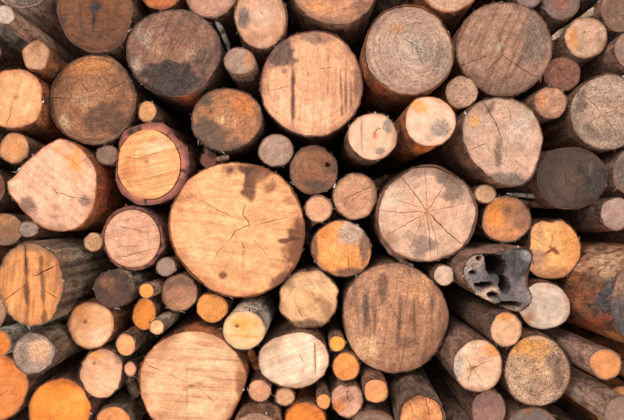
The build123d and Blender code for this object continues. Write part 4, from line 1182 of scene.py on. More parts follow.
dress("lined_cream_log", dict(
    seen=(374.3, 137), wood=(226, 184, 148), heart=(224, 176, 136), rim=(188, 142, 110), rings=0.1, saw=0.3,
    saw_turn=86, rays=0.1, specks=0.12, bark_thick=0.004, gap=0.4,
    patches=(
        (363, 137, 1.2, 22, 0, 0.8, (140, 98, 76), 0.7), (376, 136, 3, 4, 0, 1.0, (184, 92, 62), 0.85),
        (390, 126, 6, 8, 0, 0.8, (152, 132, 118), 0.8), (380, 152, 7, 5, 0, 0.8, (142, 118, 102), 0.8),
    ),
    cracks=((1.3, (376, 132), (382, 128)),),
), seed=32)
dress("bright_orange_log", dict(
    tone=(1.0, 0.94, 0.8),
    seen=(62.3, 411), wood=(252, 162, 76), heart=(255, 174, 90), rim=(196, 118, 66), rings=0.12, saw=0.3,
    saw_turn=10, rays=0.1, specks=0.2, bark_thick=0.004, gap=0.3,
    patches=(
        (48, 420, 14, 10, 0, 1.2, (232, 140, 70), 0.6), (80, 398, 10, 10, 0, 1.1, (240, 178, 116), 0.6),
    ),
), seed=33)
dress("salmon_log", dict(
    tone=(0.99, 0.975, 0.82),
    seen=(-2, 388), wood=(236, 148, 92), heart=(236, 154, 100), rim=(188, 116, 78), rings=0.15, saw_turn=5,
    rays=0.15, specks=0.25, bark_thick=0.005, gap=0.3,
    patches=((14, 370, 14, 9, 0, 1.1, (232, 136, 78), 0.7), (22, 396, 8, 14, 0, 1.1, (196, 118, 80), 0.6)),
    cracks=((1.8, (0, 400), (12, 392)),),
), seed=34)
dress("square_peach_log", dict(
    seen=(13, 98), wood=(240, 174, 118), heart=(242, 178, 124), rim=(186, 130, 94), rings=0.2, saw_turn=70,
    specks=0.2, bark="orange", bark_thick=0.005, gap=0.3,
    patches=(
        (14, 97, 6, 5, 0, 1.1, (136, 92, 72), 0.75), (-4, 84, 10, 12, 0, 1.0, (206, 148, 104), 0.7),
        (28, 108, 10, 12, 0, 1.2, (238, 182, 134), 0.7),
    ),
    cracks=((2.4, (10, 106), (8, 114), (6, 122)),),
    skin_patches=((52, 122, 9, 16, 0, 1.0, (186, 98, 46), 0.8),),
), seed=35)

# The rough small logs: one mossy, one with furrowed bark, one whose end rot has mottled brown, and the
# weathered one at the top that the picture cuts off.
dress("mossy_log", dict(
    seen=(36, 354), wood=(168, 144, 124), heart=(214, 168, 130), rim=(130, 112, 96), rings=0.1, saw=0.2,
    saw_turn=20, rays=0.1, specks=0.7, bark="mossy", bark_thick=0.007, gap=0.5,
    patches=(
        (44, 352, 12, 13, 0, 0.8, (226, 176, 134), 0.9), (24, 358, 9, 12, 0, 1.0, (146, 124, 108), 0.7),
        (30, 338, 12, 5, 0, 0.9, (124, 106, 92), 0.7),
    ),
), seed=36)
dress("weathered_top_log", dict(
    seen=(27, -30), wood=(138, 116, 98), heart=(140, 116, 98), rim=(108, 90, 78), rings=0.3, rays=0.6,
    specks=0.8, bark="silver", bark_thick=0.007, patches=((30, -4, 20, 8, 0, 1.1, (104, 88, 78), 0.7),),
    cracks=((2.2, (28, -24), (30, -4)), (2.0, (26, -30), (10, -20))),
), seed=37)
dress("rough_barked_log", dict(
    seen=(102.5, 374), wood=(236, 180, 136), heart=(236, 176, 130), rim=(180, 128, 94), rings=0.1,
    saw_turn=-30, rays=0.1, specks=0.2, bark="mossy", gap=0.5, pith=(-0.25, 0.35),
    patches=(
        (96, 355, 14, 6, 0, 1.0, (232, 152, 84), 0.8), (108, 384, 12, 10, 0, 1.3, (230, 186, 152), 0.7),
        (96, 364, 2.4, 2.4, 0, 1.0, (140, 86, 60), 0.85), (120, 356, 5, 10, 0, 0.9, (150, 116, 92), 0.7),
    ),
), seed=38)
dress("brown_mottled_log", dict(
    tone=(0.98, 0.895, 0.77),
    seen=(314, 171), wood=(146, 106, 82), heart=(150, 110, 84), rim=(112, 84, 68), rings=0.1, saw=0.1,
    rays=0.0, specks=1.5, bark="dark", bark_thick=0.004, gap=0.4, lumps=0.006,
    patches=(
        (304, 160, 10, 8, 0, 0.9, (164, 126, 100), 0.7), (318, 186, 12, 6, 0, 0.8, (88, 72, 68), 0.85),
        (332, 168, 6, 10, 0, 0.9, (104, 76, 62), 0.7),
    ),
    hollows=((328, 166, 2.4, 2.0, 0.02),),
), seed=39)

# The poles between the logs: thin tops and limbs of pine, spruce and birch, cut through in the same way
# and wedged into the gaps. Small ends dry fast, so they run from pale cream to nearly black.
dress(
    "top_poles_a",
    dict(
        seen=(161, -6), wood=(204, 118, 62), heart=(208, 124, 70), rim=(140, 78, 48), rings=0.3,
        bark="orange",
    ),
    dict(
        seen=(451, -11), wood=(208, 174, 140), heart=(212, 176, 140), rim=(170, 110, 70), rings=0.6,
        bark="orange",
    ),
    dict(
        seen=(562, 2), wood=(130, 108, 94), heart=(154, 104, 82), rim=(104, 92, 84), rings=0.4, specks=0.8,
        bark="grey",
    ),
    seed=40,
)
dress(
    "top_poles_b",
    dict(seen=(212, -10), wood=(190, 144, 116), heart=(192, 146, 116), rim=(150, 104, 80), rings=0.2),
    dict(
        seen=(530, -3), wood=(148, 126, 116), heart=(150, 92, 76), rim=(112, 94, 86), rings=0.4,
        bark="grey",
    ),
    dict(seen=(622, 12), wood=(138, 108, 88), heart=(134, 104, 84), rings=0.3, specks=0.9),
    seed=41,
)
dress(
    "right_poles_a",
    dict(seen=(449, 276), wood=(230, 200, 172), heart=(230, 198, 168), rings=0.1, specks=0.2, bark="dark"),
    dict(
        seen=(464, 94), wood=(216, 180, 148), heart=(212, 172, 138), rings=0.3, specks=0.8, bark="orange",
        patches=((458, 104, 9, 5, 0, 1.0, (168, 116, 84), 0.7),),
    ),
    dict(seen=(625, 415), wood=(160, 132, 114), heart=(164, 134, 114), rings=0.3, bark="silver"),
    dict(
        seen=(584, 43), wood=(204, 168, 136), heart=(210, 172, 136), rings=0.3, bark="grey",
        patches=(
            (571, 42, 6, 14, 0, 0.9, (230, 160, 96), 0.85), (598, 46, 6, 14, 0, 1.0, (166, 138, 114), 0.7),
            (583, 37, 1.6, 1.6, 0, 0.9, (84, 58, 44), 0.9),
        ),
    ),
    dict(
        seen=(597, 214), wood=(178, 150, 132), heart=(180, 150, 130), rings=0.3, bark="dark",
        bark_thick=0.008,
    ),
    seed=42,
)
dress(
    "right_poles_b",
    dict(seen=(490, 411), wood=(156, 122, 108), heart=(160, 122, 106), rings=0.4),
    dict(seen=(489, 195), wood=(214, 174, 132), heart=(210, 168, 126), rings=0.2, bark="grey"),
    dict(
        seen=(507, 331), wood=(232, 182, 138), heart=(232, 178, 134), rings=0.1, specks=0.2, bark="dark",
        patches=((506, 318, 14, 6, 0, 0.9, (236, 150, 76), 0.85),),
    ),
    dict(
        seen=(567, 71), wood=(150, 104, 82), heart=(140, 92, 72), rim=(116, 84, 68), rings=0.3, specks=1.0,
        dome=1.0, cracks=((1.6, (560, 60), (566, 70)), (1.2, (566, 72), (574, 78))),
    ),
    dict(seen=(623, 54), wood=(158, 128, 110), heart=(160, 128, 108), rings=0.4, bark="grey"),
    seed=43,
)
dress(
    "right_poles_c",
    dict(
        seen=(507, 223), wood=(218, 150, 98), heart=(206, 142, 96), rim=(150, 108, 82), rings=0.15,
        specks=0.5, rays=0.1, bark="dark",
        patches=(
            (494, 222, 12, 20, 0, 1.0, (246, 156, 76), 0.95),
            (522, 224, 8, 18, 0, 1.1, (160, 116, 90), 0.8), (508, 216, 6, 6, 0, 1.0, (140, 94, 68), 0.75),
        ),
    ),
    dict(
        seen=(534, 432), wood=(140, 124, 114), heart=(140, 124, 112), rings=0.3, bark="grey",
        patches=((528, 412, 6, 4, 0, 1.0, (204, 126, 70), 0.75),),
    ),
    dict(
        seen=(551, 103), wood=(196, 152, 118), heart=(198, 150, 114), rings=0.4, specks=0.9,
        patches=((543, 102, 6, 14, 0, 1.0, (220, 142, 82), 0.8),),
    ),
    dict(seen=(607, 365), wood=(230, 156, 96), heart=(230, 158, 100), rings=0.1, specks=0.15, bark="silver"),
    seed=44,
)
dress(
    "middle_poles_a",
    dict(
        seen=(241, 61.8), wood=(166, 140, 118), heart=(170, 140, 114), rings=0.4, bark="grey",
        patches=((250, 62, 5, 10, 0, 1.0, (208, 136, 78), 0.75),),
    ),
    dict(
        seen=(320, 209.5), wood=(222, 170, 128), heart=(222, 166, 122), rings=0.3, bark="grey",
        bark_thick=0.012,
    ),
    seed=45,
)
dress(
    "middle_poles_b",
    dict(seen=(278.5, 152), wood=(172, 146, 124), heart=(178, 148, 122), rings=0.3, bark="grey"),
    dict(
        seen=(356.5, 197), wood=(212, 162, 124), heart=(208, 152, 112), rings=0.4,
        cracks=((1.8, (347, 199), (360, 193), (374, 187)), (1.1, (348, 199), (346, 208))),
    ),
    dict(
        seen=(636, 172), wood=(120, 104, 92), heart=(120, 102, 90), rings=0.2, specks=0.9, bark="grey",
        dome=1.0, cracks=((2.0, (634, 172), (622, 180)),),
    ),
    seed=46,
)
dress(
    "left_poles_a",
    dict(
        seen=(8, 230), wood=(164, 122, 90), heart=(160, 118, 88), rings=0.4,
        patches=(
            (6, 218, 12, 7, 0, 1.0, (196, 138, 92), 0.7), (10, 242, 10, 5, 0, 1.0, (128, 110, 98), 0.7),
        ),
    ),
    dict(seen=(15.5, 149), wood=(214, 156, 104), heart=(220, 150, 88), rings=0.3),
    dict(seen=(8, 22), wood=(196, 178, 158), heart=(196, 176, 152), rings=0.2, bark="silver"),
    dict(
        seen=(112.5, 292), wood=(96, 74, 62), heart=(110, 80, 62), rim=(78, 62, 54), rings=0.3, specks=1.0,
        bark="mossy",
        patches=(
            (106, 286, 9, 7, 0, 1.0, (160, 112, 78), 0.8), (124, 290, 6, 14, 0, 1.0, (84, 68, 60), 0.7),
        ),
    ),
    dict(seen=(148.5, 112.5), wood=(216, 160, 104), heart=(218, 158, 98), rings=0.2),
    dict(seen=(165, 265.5), wood=(168, 144, 124), heart=(166, 138, 116), rings=0.3, bark="grey"),
    seed=47,
)
dress(
    "left_poles_b",
    dict(
        seen=(29, 230), wood=(168, 150, 132), heart=(168, 148, 128), rings=0.2, specks=0.9, bark="grey",
        dome=0.8,
    ),
    dict(seen=(36, 57), wood=(218, 170, 128), heart=(218, 168, 122), rings=0.2, bark="orange"),
    dict(seen=(106, 157), wood=(140, 114, 96), heart=(138, 110, 92), rings=0.3),
    dict(seen=(151, 292), wood=(246, 152, 74), heart=(246, 152, 76), rings=0.1, specks=0.1, bark="silver"),
    seed=48,
)
dress(
    "left_poles_c",
    dict(seen=(-15, 52), wood=(110, 90, 76), rings=0.3, bark="dark"),
    dict(seen=(94.5, 243), wood=(222, 180, 132), heart=(216, 168, 116), rings=0.4),
    dict(
        seen=(180, 294), wood=(186, 140, 108), heart=(190, 138, 102), rings=0.4,
        patches=(
            (180, 282, 18, 9, 0, 1.0, (138, 104, 82), 0.85),
            (182, 306, 14, 6, 0, 1.0, (196, 142, 102), 0.75),
        ),
    ),
    seed=49,
)
dress(
    "left_poles_d",
    dict(seen=(-18, 188), wood=(116, 72, 52), rings=0.3, bark="dark"),
    dict(seen=(211, 163), wood=(134, 88, 66), heart=(134, 86, 64), rings=0.2, bark="dark"),
    dict(
        seen=(212.5, 307.5), wood=(246, 168, 90), heart=(248, 170, 94), rim=(206, 128, 66), rings=0.1,
        specks=0.2,
    ),
    seed=50,
)
dress(
    "bottom_poles_a",
    dict(seen=(261, 391.5), wood=(232, 172, 132), heart=(228, 164, 122), rings=0.2, specks=0.2),
    dict(seen=(338.5, 344.5), wood=(248, 164, 70), heart=(250, 166, 74), rings=0.1, specks=0.1),
    dict(
        seen=(349, 402), wood=(230, 176, 142), heart=(228, 170, 134), rings=0.1,
        patches=(
            (341, 408, 7, 9, 0, 1.0, (236, 142, 74), 0.85), (349, 400, 8, 4, 0, 1.0, (164, 114, 88), 0.7),
        ),
        cracks=((2.2, (349, 392), (350, 402)),),
    ),
    dict(
        seen=(420, 425), wood=(232, 160, 100), heart=(236, 168, 108), rim=(170, 110, 70), rings=0.1,
        specks=0.5, lumps=0.02, bark="mossy", bark_thick=0.014, gap=0.7,
        patches=(
            (414, 400, 12, 5, 20, 0.9, (150, 108, 76), 0.7),
            (426, 418, 8, 12, 10, 0.9, (202, 128, 76), 0.8),
        ),
        cracks=((2.4, (424, 400), (428, 416)), (1.8, (408, 404), (412, 418))),
    ),
    seed=51,
)
dress(
    "bottom_poles_b",
    dict(
        seen=(288, 398), wood=(242, 190, 142), heart=(240, 184, 132), rings=0.2, specks=0.2,
        bark_thick=0.010,
    ),
    dict(seen=(324.5, 402.5), wood=(242, 166, 98), heart=(244, 168, 98), rings=0.1, specks=0.1),
    dict(seen=(378, 390), wood=(240, 166, 106), heart=(240, 166, 104), rings=0.1, specks=0.15),
    seed=52,
)
dress(
    "bottom_poles_c",
    dict(seen=(305, 421), wood=(240, 140, 60), heart=(242, 144, 66), rings=0.1, specks=0.15, bark="orange"),
    dict(seen=(347, 368), wood=(244, 158, 84), heart=(246, 160, 88), rings=0.1, specks=0.1),
    dict(seen=(376, 432), wood=(176, 146, 126), heart=(176, 144, 122), rings=0.5, bark="grey"),
    seed=53,
)
dress(
    "bottom_poles_d",
    dict(
        seen=(115, 424), wood=(242, 160, 98), heart=(244, 164, 102), rings=0.1, bark="mossy",
        bark_thick=0.010, gap=0.5,
    ),
    dict(seen=(127, 345), wood=(238, 164, 108), heart=(238, 166, 112), rings=0.1, specks=0.2, bark="mossy"),
    dict(seen=(158, 328), wood=(240, 178, 128), heart=(240, 174, 122), rings=0.1, specks=0.2, bark="mossy"),
    dict(seen=(257, 432), wood=(168, 130, 104), rings=0.3, bark_thick=0.010),
    seed=54,
)
dress(
    "bottom_poles_e",
    dict(seen=(0, 343), wood=(244, 146, 64), heart=(244, 148, 70), rings=0.2, bark="birch"),
    dict(
        seen=(93, 324.5), wood=(248, 188, 136), heart=(246, 180, 124), rings=0.1, saw_turn=25, rays=0.1,
        specks=0.15, bark="orange",
        patches=(
            (84, 312, 14, 11, 0, 1.1, (236, 156, 88), 0.8),
            (102, 334, 12, 12, 0, 1.3, (240, 206, 170), 0.7),
            (87.5, 321, 2.6, 2.6, 0, 0.9, (140, 84, 54), 0.9),
        ),
    ),
    dict(seen=(132, 369), wood=(232, 170, 132), heart=(230, 166, 126), rings=0.1, specks=0.2, bark="grey"),
    dict(seen=(145.5, 315), wood=(246, 154, 68), heart=(248, 156, 72), rings=0.15, specks=0.2),
    seed=55,
)

# The rest of the heap, which the picture cuts off: the row on the ground, both slopes and the logs on top.
# Plain stock of the same woods, barked all over and cut square, with no special shapes.
COMMON = (
    dict(wood=(206, 156, 116), bark="brown", rings=0.4),
    dict(wood=(178, 140, 112), heart=(182, 138, 106), bark="grey", rings=0.4, rays=0.5),
    dict(wood=(216, 152, 98), heart=(218, 158, 106), bark="orange", rings=0.3),
    dict(wood=(150, 122, 102), heart=(158, 124, 98), rim=(118, 96, 82), bark="mossy", rings=0.4, specks=0.8),
    dict(wood=(218, 178, 144), heart=(216, 172, 134), bark="brown", saw=0.8, rings=0.3),
    dict(wood=(196, 146, 110), heart=(190, 134, 96), bark="orange", rings=0.5, saw_turn=70),
    dict(wood=(134, 108, 92), heart=(138, 108, 88), rim=(100, 82, 72), bark="dark", rings=0.4, rays=0.6),
    dict(wood=(214, 186, 152), heart=(210, 176, 138), bark="birch", bark_thick=0.004, rings=0.5),
    dict(wood=(200, 160, 130), heart=(204, 160, 126), bark="silver", rings=0.4),
)
for count, letter in enumerate("abcde"):
    looks = COMMON[count:] + COMMON[:count]
    dress("outer_logs_" + letter, *looks, seed=60 + count, in_view=False, open_air=True)

# Splinters and torn bark round the sawn rims: slivers of bast and bark that the saw chain lifted and left
# hanging, some brown and stringy, some pale fresh wood. They follow every rim that is in view.
SLIVER_STEPS = 4
SLIVER_THICK = 0.16


def flake(name, length, wide, curl):
    spots, faces = [], []
    for step in range(SLIVER_STEPS + 1):
        share = step / SLIVER_STEPS
        half = wide / 2 * (1 - share ** 2 * 0.85)
        lift = curl * share ** 2
        for side in (-1, 1):
            for level in (0, 1):
                spots.append((side * half, share * length, lift + level * wide * SLIVER_THICK))
    for a in range(0, 4 * SLIVER_STEPS, 4):
        b = a + 4
        faces += [(a, b, b + 2, a + 2), (a + 1, a + 3, b + 3, b + 1)]
        faces += [(a, a + 1, b + 1, b), (a + 2, b + 2, b + 3, a + 3)]
    tip = 4 * SLIVER_STEPS
    faces += [(0, 2, 3, 1), (tip, tip + 1, tip + 3, tip + 2)]
    mesh = bpy.data.meshes.new(name)
    mesh.from_pydata(spots, [], faces)
    return bpy.data.objects.new(name, mesh)


# Bast and torn wood, each sliver in a shade of its own between dark bark and fresh wood
def splinter_paint():
    shades = {0.0: (48, 36, 30), 0.4: (96, 64, 44), 0.65: (140, 92, 58), 0.85: (122, 104, 88)}
    shades[0.95] = (170, 136, 104)
    paint = Paint("splinters")
    at = add(paint.tree, "ShaderNodeTexCoord").outputs["Object"]
    fibre = paint.cloud(at, 420.0, 3.0)
    scale = add(paint.tree, "ShaderNodeValToRGB", {"Fac": paint.read("shade")["Fac"]})
    for place, colour in shades.items():
        point = scale.color_ramp.elements.new(place) if place else scale.color_ramp.elements[0]
        point.position, point.color = place, (*linear(colour), 1.0)
    colour = paint.stain(scale.outputs["Color"], paint.band(fibre, 0.35, 0.7), (0.3, 0.22, 0.16))
    return paint.finish(colour, 0.9, 0.5, fibre, strength=0.4, distance=0.001)


# Lays one of the shapes, turned and sized at random, at even steps along a path
def scatter_nodes(shapes, material):
    tree = bpy.data.node_groups.new("scatter_along", "GeometryNodeTree")
    sockets = {"Geometry": "NodeSocketGeometry", "Seed": "NodeSocketInt"}
    for name in ("Geometry", "Spacing", "Share", "Smallest", "Largest", "Spread", "Seed"):
        tree.interface.new_socket(name=name, in_out="INPUT", socket_type=sockets.get(name, "NodeSocketFloat"))
    tree.interface.new_socket(name="Geometry", in_out="OUTPUT", socket_type=sockets["Geometry"])
    given = tree.nodes.new("NodeGroupInput").outputs

    def random_value(kind, output, limits):
        inputs = {**limits, "Seed": given["Seed"]}
        return add(tree, "FunctionNodeRandomValue", inputs, data_type=kind).outputs[output]

    path = add(tree, "GeometryNodeMeshToCurve", {"Mesh": given["Geometry"]}).outputs["Curve"]
    inputs = {"Curve": path, "Length": given["Spacing"]}
    even = add(tree, "GeometryNodeResampleCurve", inputs, mode="LENGTH").outputs["Curve"]
    chosen = random_value("BOOLEAN", 3, {"Probability": given["Share"]})
    read = add(tree, "GeometryNodeInputNamedAttribute", {"Name": "outward"}, data_type="FLOAT_VECTOR")
    inputs = {"Vector": read.outputs["Attribute"]}
    turned = add(tree, "FunctionNodeAlignRotationToVector", inputs, axis="Y").outputs["Rotation"]
    limits = []
    for sign in (-1.0, 1.0):
        inputs = {0: (sign, sign * 3.1, sign), "Scale": given["Spread"]}
        limits.append(add(tree, "ShaderNodeVectorMath", inputs, operation="SCALE").outputs[0])
    swing = random_value("FLOAT_VECTOR", 0, {"Min": limits[0], "Max": limits[1]})
    inputs = {"Rotation": turned, "Rotate By": swing}
    turned = add(tree, "FunctionNodeRotateRotation", inputs, rotation_space="LOCAL").outputs["Rotation"]
    size = random_value("FLOAT", 1, {2: given["Smallest"], 3: given["Largest"]})
    kinds = tree.nodes.new("GeometryNodeJoinGeometry")
    for shape in shapes:
        source = add(tree, "GeometryNodeObjectInfo", {"Object": shape, "As Instance": True})
        tree.links.new(source.outputs["Geometry"], kinds.inputs[0])
    inputs = {"Points": even, "Selection": chosen, "Instance": kinds.outputs[0], "Pick Instance": True}
    inputs.update({"Rotation": turned, "Scale": size})
    laid = add(tree, "GeometryNodeInstanceOnPoints", inputs).outputs["Instances"]
    inputs = {"Geometry": laid, "Name": "shade", "Value": random_value("FLOAT", 1, {2: 0.0, 3: 1.0})}
    kept = add(tree, "GeometryNodeStoreNamedAttribute", inputs, data_type="FLOAT", domain="INSTANCE")
    real = add(tree, "GeometryNodeRealizeInstances", {"Geometry": kept.outputs["Geometry"]})
    inputs = {"Geometry": real.outputs["Geometry"], "Material": material}
    painted = add(tree, "GeometryNodeSetMaterial", inputs).outputs["Geometry"]
    tree.links.new(painted, tree.nodes.new("NodeGroupOutput").inputs[0])
    return tree


# Lays the shapes along a path of points joined by edges, and keeps the result as a plain mesh
def scatter(name, spots, edges, outward, nodes, **values):
    mesh = bpy.data.meshes.new(name + "_path")
    mesh.from_pydata(spots, edges, [])
    store(mesh, "outward", outward)
    thing = bpy.data.objects.new(name, mesh)
    bpy.context.scene.collection.objects.link(thing)
    live = thing.modifiers.new("scatter", "NODES")
    live.node_group = nodes
    for item in nodes.interface.items_tree:
        if item.in_out == "INPUT" and item.name in values:
            live[item.identifier] = values[item.name]
    ready = bpy.data.meshes.new_from_object(thing.evaluated_get(bpy.context.evaluated_depsgraph_get()))
    thing.modifiers.clear()
    thing.data = ready
    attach(thing, "root")


shapes = [
    flake("sliver", length=0.012, wide=0.0026, curl=0.003),
    flake("strip", length=0.018, wide=0.0042, curl=-0.004),
    flake("chip", length=0.009, wide=0.0060, curl=0.002),
]
spots, edges, outward = [], [], []
for rim in rims:
    count, base = len(rim), sum(len(part) for part in spots)
    spots.append(rim - (0, 0.0008, 0))
    away = rim - rim.mean(axis=0)
    away = away / np.maximum(np.linalg.norm(away, axis=1), 1e-6)[:, None]
    along = np.column_stack((-away[:, 2], away[:, 1] * 0, away[:, 0]))
    way_round = np.where(np.arange(count) % 3 == 0, -1.0, 1.0)[:, None]
    outward.append(away * 0.25 + along * way_round + (0, 0.25, 0))
    edges += [(base + k, base + (k + 1) % count) for k in range(count)]
scatter(
    "rim_splinters", np.vstack(spots), edges, np.vstack(outward), scatter_nodes(shapes, splinter_paint()),
    Spacing=0.014, Share=0.5, Smallest=0.3, Largest=1.0, Spread=0.28, Seed=4,
)

# Loose bark in the gaps: flakes and strips that came off while the stack was built, wedged between the logs.
# The deep dark and brown strips are painted shade: they are set far back in the gaps so that the gaps look
# dark where the pale backdrop would show between the logs.
# A strip runs from one place to another, each as it is seen from the viewpoint and its depth in metres behind
# the front ends, and is curled across its width.
FACING_FRONT = np.array((0.0, -1.0, 0.0))
FACING_UP = np.array((0.3, -0.4, 0.8))


def seen_spot(u, v, depth):
    y = face_plane + depth
    scale = METRES_PER_PIXEL * (y - eye.y) / VIEW_DISTANCE
    return np.array((eye.x + (u - PICTURE_WIDE / 2) * scale, y, eye.z + (PICTURE_HIGH / 2 - v) * scale))


# The faces of a slab whose two sides are grids of the same rows and columns: both sides, then the border
def slab_faces(rows, columns):
    wide = columns + 1
    total, faces = wide * (rows + 1), []
    for row in range(rows):
        for column in range(columns):
            a = row * wide + column
            faces.append((a, a + wide, a + wide + 1, a + 1))
            faces.append((total + a, total + a + 1, total + a + wide + 1, total + a + wide))
    border = list(range(wide)) + [row * wide + columns for row in range(1, rows + 1)]
    border += [rows * wide + k for k in range(columns - 1, -1, -1)]
    border += [row * wide for row in range(rows - 1, 0, -1)]
    for one, two in zip(border, border[1:] + border[:1]):
        faces.append((one, two, total + two, total + one))
    return faces


# A curled strip of bark with frayed ends, rolled about its own length by an angle in degrees
def bark_strip(start, stop, wide, bark, seed, roll=0, curl=0.35, thick=0.004):
    start, stop, roll = seen_spot(*start), seen_spot(*stop), math.radians(roll)
    length = np.linalg.norm(stop - start)
    heading = (stop - start) / length
    facing = FACING_FRONT - heading * -heading[1]
    facing = FACING_UP if np.linalg.norm(facing) < 0.2 else facing
    facing = facing - heading * (facing @ heading)
    facing /= np.linalg.norm(facing)
    beside, turn, lean = np.cross(heading, facing), math.cos(roll), math.sin(roll)
    beside, facing = beside * turn + facing * lean, facing * turn - beside * lean
    rows, columns = max(5, int(length / 0.010)), max(4, int(wide / 0.005))
    along, across = np.meshgrid(np.linspace(0, 1, rows + 1), np.linspace(-1, 1, columns + 1), indexing="ij")
    level = np.full(along.size, seed * 1.3)
    flat = np.column_stack((along.ravel() * length, across.ravel() * wide / 2, level))
    frayed = noise(flat * (0, 1, 1), 0.006, seed + 2).reshape(along.shape) - 0.5
    narrow = noise(flat * (1, 0, 1), 0.022, seed + 3).reshape(along.shape)
    run = along + frayed * 0.10 * (2 * along - 1)
    side = across * (0.72 + 0.4 * narrow) * np.clip(3.2 * np.minimum(along, 1 - along) + 0.45, 0, 1)
    lift = -curl * wide * side ** 2 + (layered(flat, 0.03, seed, 3).reshape(along.shape) - 0.5) * 0.008
    sides = []
    for level in (0, 1):
        spot = start + run[..., None] * length * heading + side[..., None] * wide / 2 * beside
        sides.append((spot + (lift - level * thick)[..., None] * facing).reshape(-1, 3))
    main, deep, pale = (linear(colour) for colour in (BARKS[bark][4:] if isinstance(bark, str) else bark))
    patchy = layered(flat, 0.02, seed + 5, 2)
    tint = blend(np.tile(deep, (along.size, 1)), main, np.clip(patchy * 2.4 - 0.5, 0, 1))
    tint = blend(tint, pale, np.clip(patchy * 4 - 2.4, 0, 1))
    tints, skins = np.vstack((tint, tint * 0.9)), np.vstack((flat, flat + 0.5))
    return np.vstack(sides), slab_faces(rows, columns), tints, skins


def lay_strips(name, seed, strips):
    spots, faces, tints, skins = [], [], [], []
    for place, strip in enumerate(strips):
        base = sum(len(group) for group in spots)
        strip_spots, strip_faces, tint, skin = bark_strip(**strip, seed=seed + place)
        spots.append(strip_spots)
        faces += [tuple(base + k for k in face) for face in strip_faces]
        tints.append(tint)
        skins.append(skin)
    mesh = bpy.data.meshes.new(name)
    mesh.from_pydata(np.vstack(spots), [], faces)
    tints = np.vstack(tints)
    store(mesh, "tint", np.column_stack((tints, np.ones(len(tints)))))
    store(mesh, "skin", np.vstack(skins))
    mesh.materials.append(bark_material)
    mesh.polygons.foreach_set("use_smooth", np.ones(len(faces), bool))
    mesh.set_sharp_from_angle(angle=math.radians(50))
    thing = bpy.data.objects.new(name, mesh)
    bpy.context.scene.collection.objects.link(thing)
    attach(thing, "root")


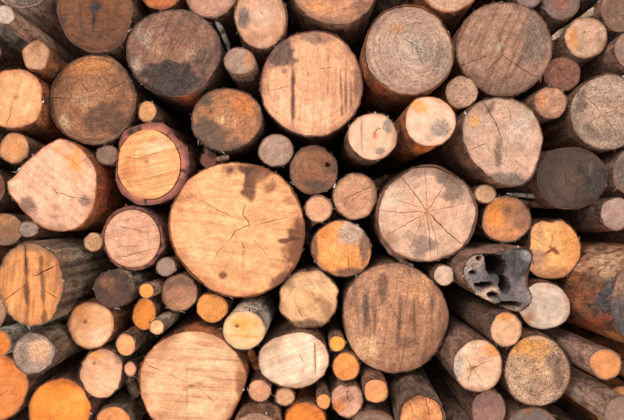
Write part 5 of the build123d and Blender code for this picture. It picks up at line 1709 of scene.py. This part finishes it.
TORN_ORANGE = ((206, 112, 52), (130, 66, 34), (228, 150, 86))
SILVER_STRIP = ((206, 192, 174), (110, 94, 80), (236, 228, 214))
DARK_RED = ((120, 60, 40), (62, 38, 30), (150, 84, 56))
lay_strips("gap_litter", seed=1, strips=[
    # Painted shade: this strip and the four after it stand deep in gaps and keep them dark
    dict(start=(310, 222, 0.10), stop=(303, 246, 0.22), wide=0.034, roll=10, bark="dark"),
    dict(start=(300, 190, 0.16), stop=(316, 200, 0.22), wide=0.036, roll=-14, bark="dark"),
    dict(start=(331, 220, 0.12), stop=(344, 206, 0.18), wide=0.044, bark="brown"),
    dict(start=(374, 186, 0.20), stop=(388, 176, 0.26), wide=0.036, bark="brown"),
    dict(start=(0, 250, 0.14), stop=(3, 266, 0.20), wide=0.030, bark="dark"),
    # Loose bark and splinters lying in the gaps
    dict(start=(250, 349, 0.02), stop=(259, 372, 0.06), wide=0.030, roll=20, bark=TORN_ORANGE),
    dict(start=(246, 352, 0.05), stop=(249, 366, 0.09), wide=0.022, roll=-30, bark=TORN_ORANGE),
    dict(start=(318, 222, -0.02), stop=(312, 226, 0.02), wide=0.012, roll=20, bark=TORN_ORANGE),
    dict(start=(204, 148, 0.02), stop=(214, 158, 0.06), wide=0.018, bark="grey"),
    dict(start=(150, 128, 0.05), stop=(178, 134, 0.12), wide=0.024, roll=20, bark="mauve"),
    dict(start=(62, 132, 0.03), stop=(88, 141, 0.10), wide=0.020, roll=-20, bark=TORN_ORANGE),
    dict(start=(508, 194, 0.01), stop=(548, 196, 0.04), wide=0.014, roll=20, bark=SILVER_STRIP),
    dict(start=(514, 202, 0.05), stop=(560, 207, 0.08), wide=0.022, bark=DARK_RED),
    dict(start=(174, 331, 0.00), stop=(222, 329, 0.02), wide=0.016, roll=30, bark="grey"),
    dict(start=(127, 374, 0.02), stop=(136, 398, 0.05), wide=0.036, roll=10, bark="mossy"),
    dict(start=(133, 366, 0.00), stop=(140, 388, 0.03), wide=0.022, roll=-40, bark="mossy"),
    # Painted shade: the strips from here to the end stand deep in gaps and keep them dark
    dict(start=(304, 193, 0.16), stop=(312, 206, 0.24), wide=0.034, bark="dark"),
    dict(start=(327, 179, 0.14), stop=(341, 192, 0.20), wide=0.036, bark="dark"),
    dict(start=(338, 211, 0.12), stop=(347, 223, 0.18), wide=0.034, bark="brown"),
    dict(start=(304, 215, 0.12), stop=(314, 226, 0.18), wide=0.036, bark="dark"),
    dict(start=(304, 233, 0.12), stop=(313, 246, 0.18), wide=0.036, bark="dark"),
    dict(start=(10, 162, 0.12), stop=(22, 176, 0.20), wide=0.036, bark="dark"),
    dict(start=(1, 126, 0.12), stop=(15, 134, 0.20), wide=0.036, bark="brown"),
    dict(start=(315, 189, 0.16), stop=(325, 198, 0.22), wide=0.036, bark="dark"),
    dict(start=(404, -3, 0.14), stop=(416, 6, 0.20), wide=0.036, bark="dark"),
    dict(start=(589, -1, 0.14), stop=(602, 8, 0.20), wide=0.036, bark="dark"),
    dict(start=(-3, -2, 0.14), stop=(8, 8, 0.20), wide=0.044, bark="dark"),
])

# The peeled strip at the top left: a long curl of silver birch bark that came away in one piece and hangs
# down beside the dark log, bent over once on its way.
lay_strips("peeled_silver_strip", seed=21, strips=[
    dict(start=(203, 12, 0.00), stop=(219, 26, 0.03), wide=0.020, roll=-35, bark=SILVER_STRIP, curl=0.6),
    dict(start=(215, 22, 0.01), stop=(229, 52, 0.08), wide=0.020, roll=-35, bark=SILVER_STRIP, curl=0.6),
])

# The split board at the top right: a pale sliver of split wood, flat and sharp-edged, that fell across the
# logs and leans in the gap between two of them.
SPLIT_BOARD = ((206, 178, 150), (150, 118, 92), (232, 210, 184))
lay_strips("split_board", seed=31, strips=[
    dict(start=(551, 39, 0.02), stop=(605, 3, 0.03), wide=0.022, bark=SPLIT_BOARD, roll=15, curl=0.05,
         thick=0.012),
])

# Lifted bark: scales of orange and grey bark that drying has curled away from the rims of three logs. They
# still hang on the logs they grew on and stand forward of the cut ends.
lay_strips("lifted_bark", seed=41, strips=[
    dict(start=(369, 62, -0.10), stop=(368, 30, -0.10), wide=0.026, roll=60, bark="orange", curl=0.5),
    dict(start=(368, 34, -0.10), stop=(383, 12, -0.10), wide=0.022, roll=60, bark="grey", curl=0.5),
    dict(start=(382, 232, -0.01), stop=(396, 256, -0.01), wide=0.020, roll=55, bark="grey", curl=0.5),
    dict(start=(394, 253, -0.01), stop=(414, 265, -0.01), wide=0.020, roll=55, bark="grey", curl=0.5),
    dict(start=(216, 159, -0.04), stop=(229, 157, -0.04), wide=0.020, bark="grey", curl=0.8, thick=0.010),
])
